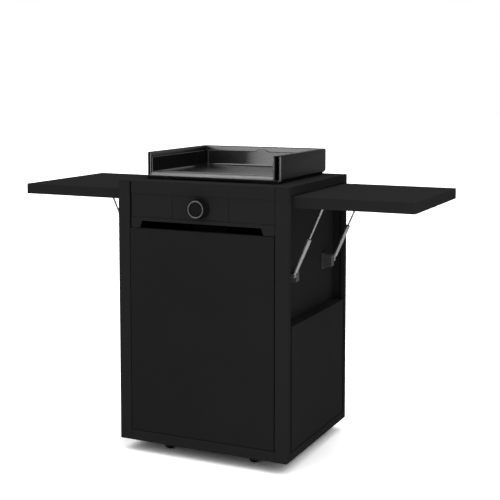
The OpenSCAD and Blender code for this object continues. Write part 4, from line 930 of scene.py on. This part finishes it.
for sign in (-1, 1):
    for inner, outer, setback in ((GUARD_WALL - HAIRLINE, GUARD_WALL - INNER_HEM, 0),
                                  (OUTER_HEM, -2 * HAIRLINE, END_SLANT * 0.8)):
        near_x, far_x = sign * (guard_high.x - inner), sign * (guard_high.x - outer)
        front, back = guard_low.y + setback, guard_low.y + setback + HEM_DEPTH
        hem = softened([(near_x, front, 0.0014), (far_x, front, 0.0014),
                        (far_x, back, 0), (near_x, back, 0)], steps=8)
        hems.append(drawn(hem, bottom, top - HEM_DROP, Matrix()))
# The hems carry the lighter copy of the enamel too, a painted highlight.
shaped("guard_hems", hems, painted_highlight_enamel, "splash_guard", SHARP_ENAMEL)

# The knob is turned black plastic: a skirt, a neck, and a flared head with a dished face. It is
# pushed on a steel spindle, and a satin metal ring is pressed on round its face.
SPINDLE_RADIUS = 0.003
SPINDLE_HOLE = 0.014
RING_WIDTH = 0.0052
RING_DEPTH = 0.0038
RING_SEAT = 0.0041
NECK_INSET = 0.0048
SKIRT_DEPTH = 0.008
FACE_DEPTH = 0.006
HEAD_LIP = 0.001
FLARE_FOOT = 0.009
FLARE_TOP = 0.005
DISH_BACKING = 0.0005
DISH_CENTRE = 0.1766
DISH_RADIUS = 0.1812
DISH_ANGLE = -82.6
KNOB_STEPS = 96
SHARP_TURN = 50
knob_black = finished("knob_black", moulded_skin, gloss=0.0, bump=0.1,
                      tone=(0.009, 0.009, 0.0092, 1.0), roughness=0.5)
knob_face = finished("knob_face", moulded_skin, gloss=0.0, bump=0.1,
                     tone=(0.012, 0.012, 0.0122, 1.0), roughness=0.6)
knob_metal = finished("knob_metal", plated_metal, gloss=0.5, bump=0.03, metal=1.0,
                      tone=(0.034, 0.034, 0.034, 1.0), roughness=0.4, bloom=0.1)
dial_low, dial_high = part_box("knob_dial")
ring_low, ring_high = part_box("knob_ring")
knob_foot = Vector((0, dial_high.y, (ring_low.z + ring_high.z) / 2))
length = dial_high.y - ring_low.y
skirt_radius = (dial_high.z - dial_low.z) / 2
ring_radius = (ring_high.z - ring_low.z) / 2
face_radius = ring_radius - RING_WIDTH
neck_radius = ring_radius - NECK_INSET
head_radius = ring_radius - HEAD_LIP
head = softened([
    (SPINDLE_RADIUS + HAIRLINE, 0, 0.0002), (skirt_radius, 0, 0.0004),
    (skirt_radius, SKIRT_DEPTH, 0.0014), (neck_radius, SKIRT_DEPTH, 0.0015),
    (neck_radius, length - FLARE_FOOT, 0.004), (head_radius, length - FLARE_TOP, 0.0012),
    (head_radius, length - RING_SEAT, 0.0002), (face_radius, length - RING_SEAT, 0),
    (face_radius, length - FACE_DEPTH, 0), (0, length - FACE_DEPTH, 0), (0, SPINDLE_HOLE, 0),
    (SPINDLE_RADIUS + HAIRLINE, SPINDLE_HOLE, 0)], steps=5)
dish_back = length - FACE_DEPTH - DISH_BACKING
dish = [(0, dish_back), (face_radius - HAIRLINE, dish_back)]
dish += arc((0, length + DISH_CENTRE), DISH_RADIUS, DISH_ANGLE, -90, 12)
ring = softened([(face_radius, length - RING_DEPTH, 0.0003),
                 (ring_radius, length - RING_DEPTH, 0.0006),
                 (ring_radius, length, 0.0018), (face_radius, length, 0.0018)], steps=8)
turned_knob = shaped("knob_body", [turned(head, knob_foot, (0, -1, 0), KNOB_STEPS)],
                     knob_black, "knob", SHARP_TURN)
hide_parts("knob_dial")
shaped("knob_dish", [turned(dish, knob_foot, (0, -1, 0), KNOB_STEPS)],
       knob_face, "knob", SHARP_TURN)
pressed_ring = shaped("knob_face_ring", [turned(ring, knob_foot, (0, -1, 0), KNOB_STEPS)],
                      knob_metal, "knob", SHARP_TURN)
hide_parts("knob_ring")
dressed("knob_spindle", bright_steel, edge=0)
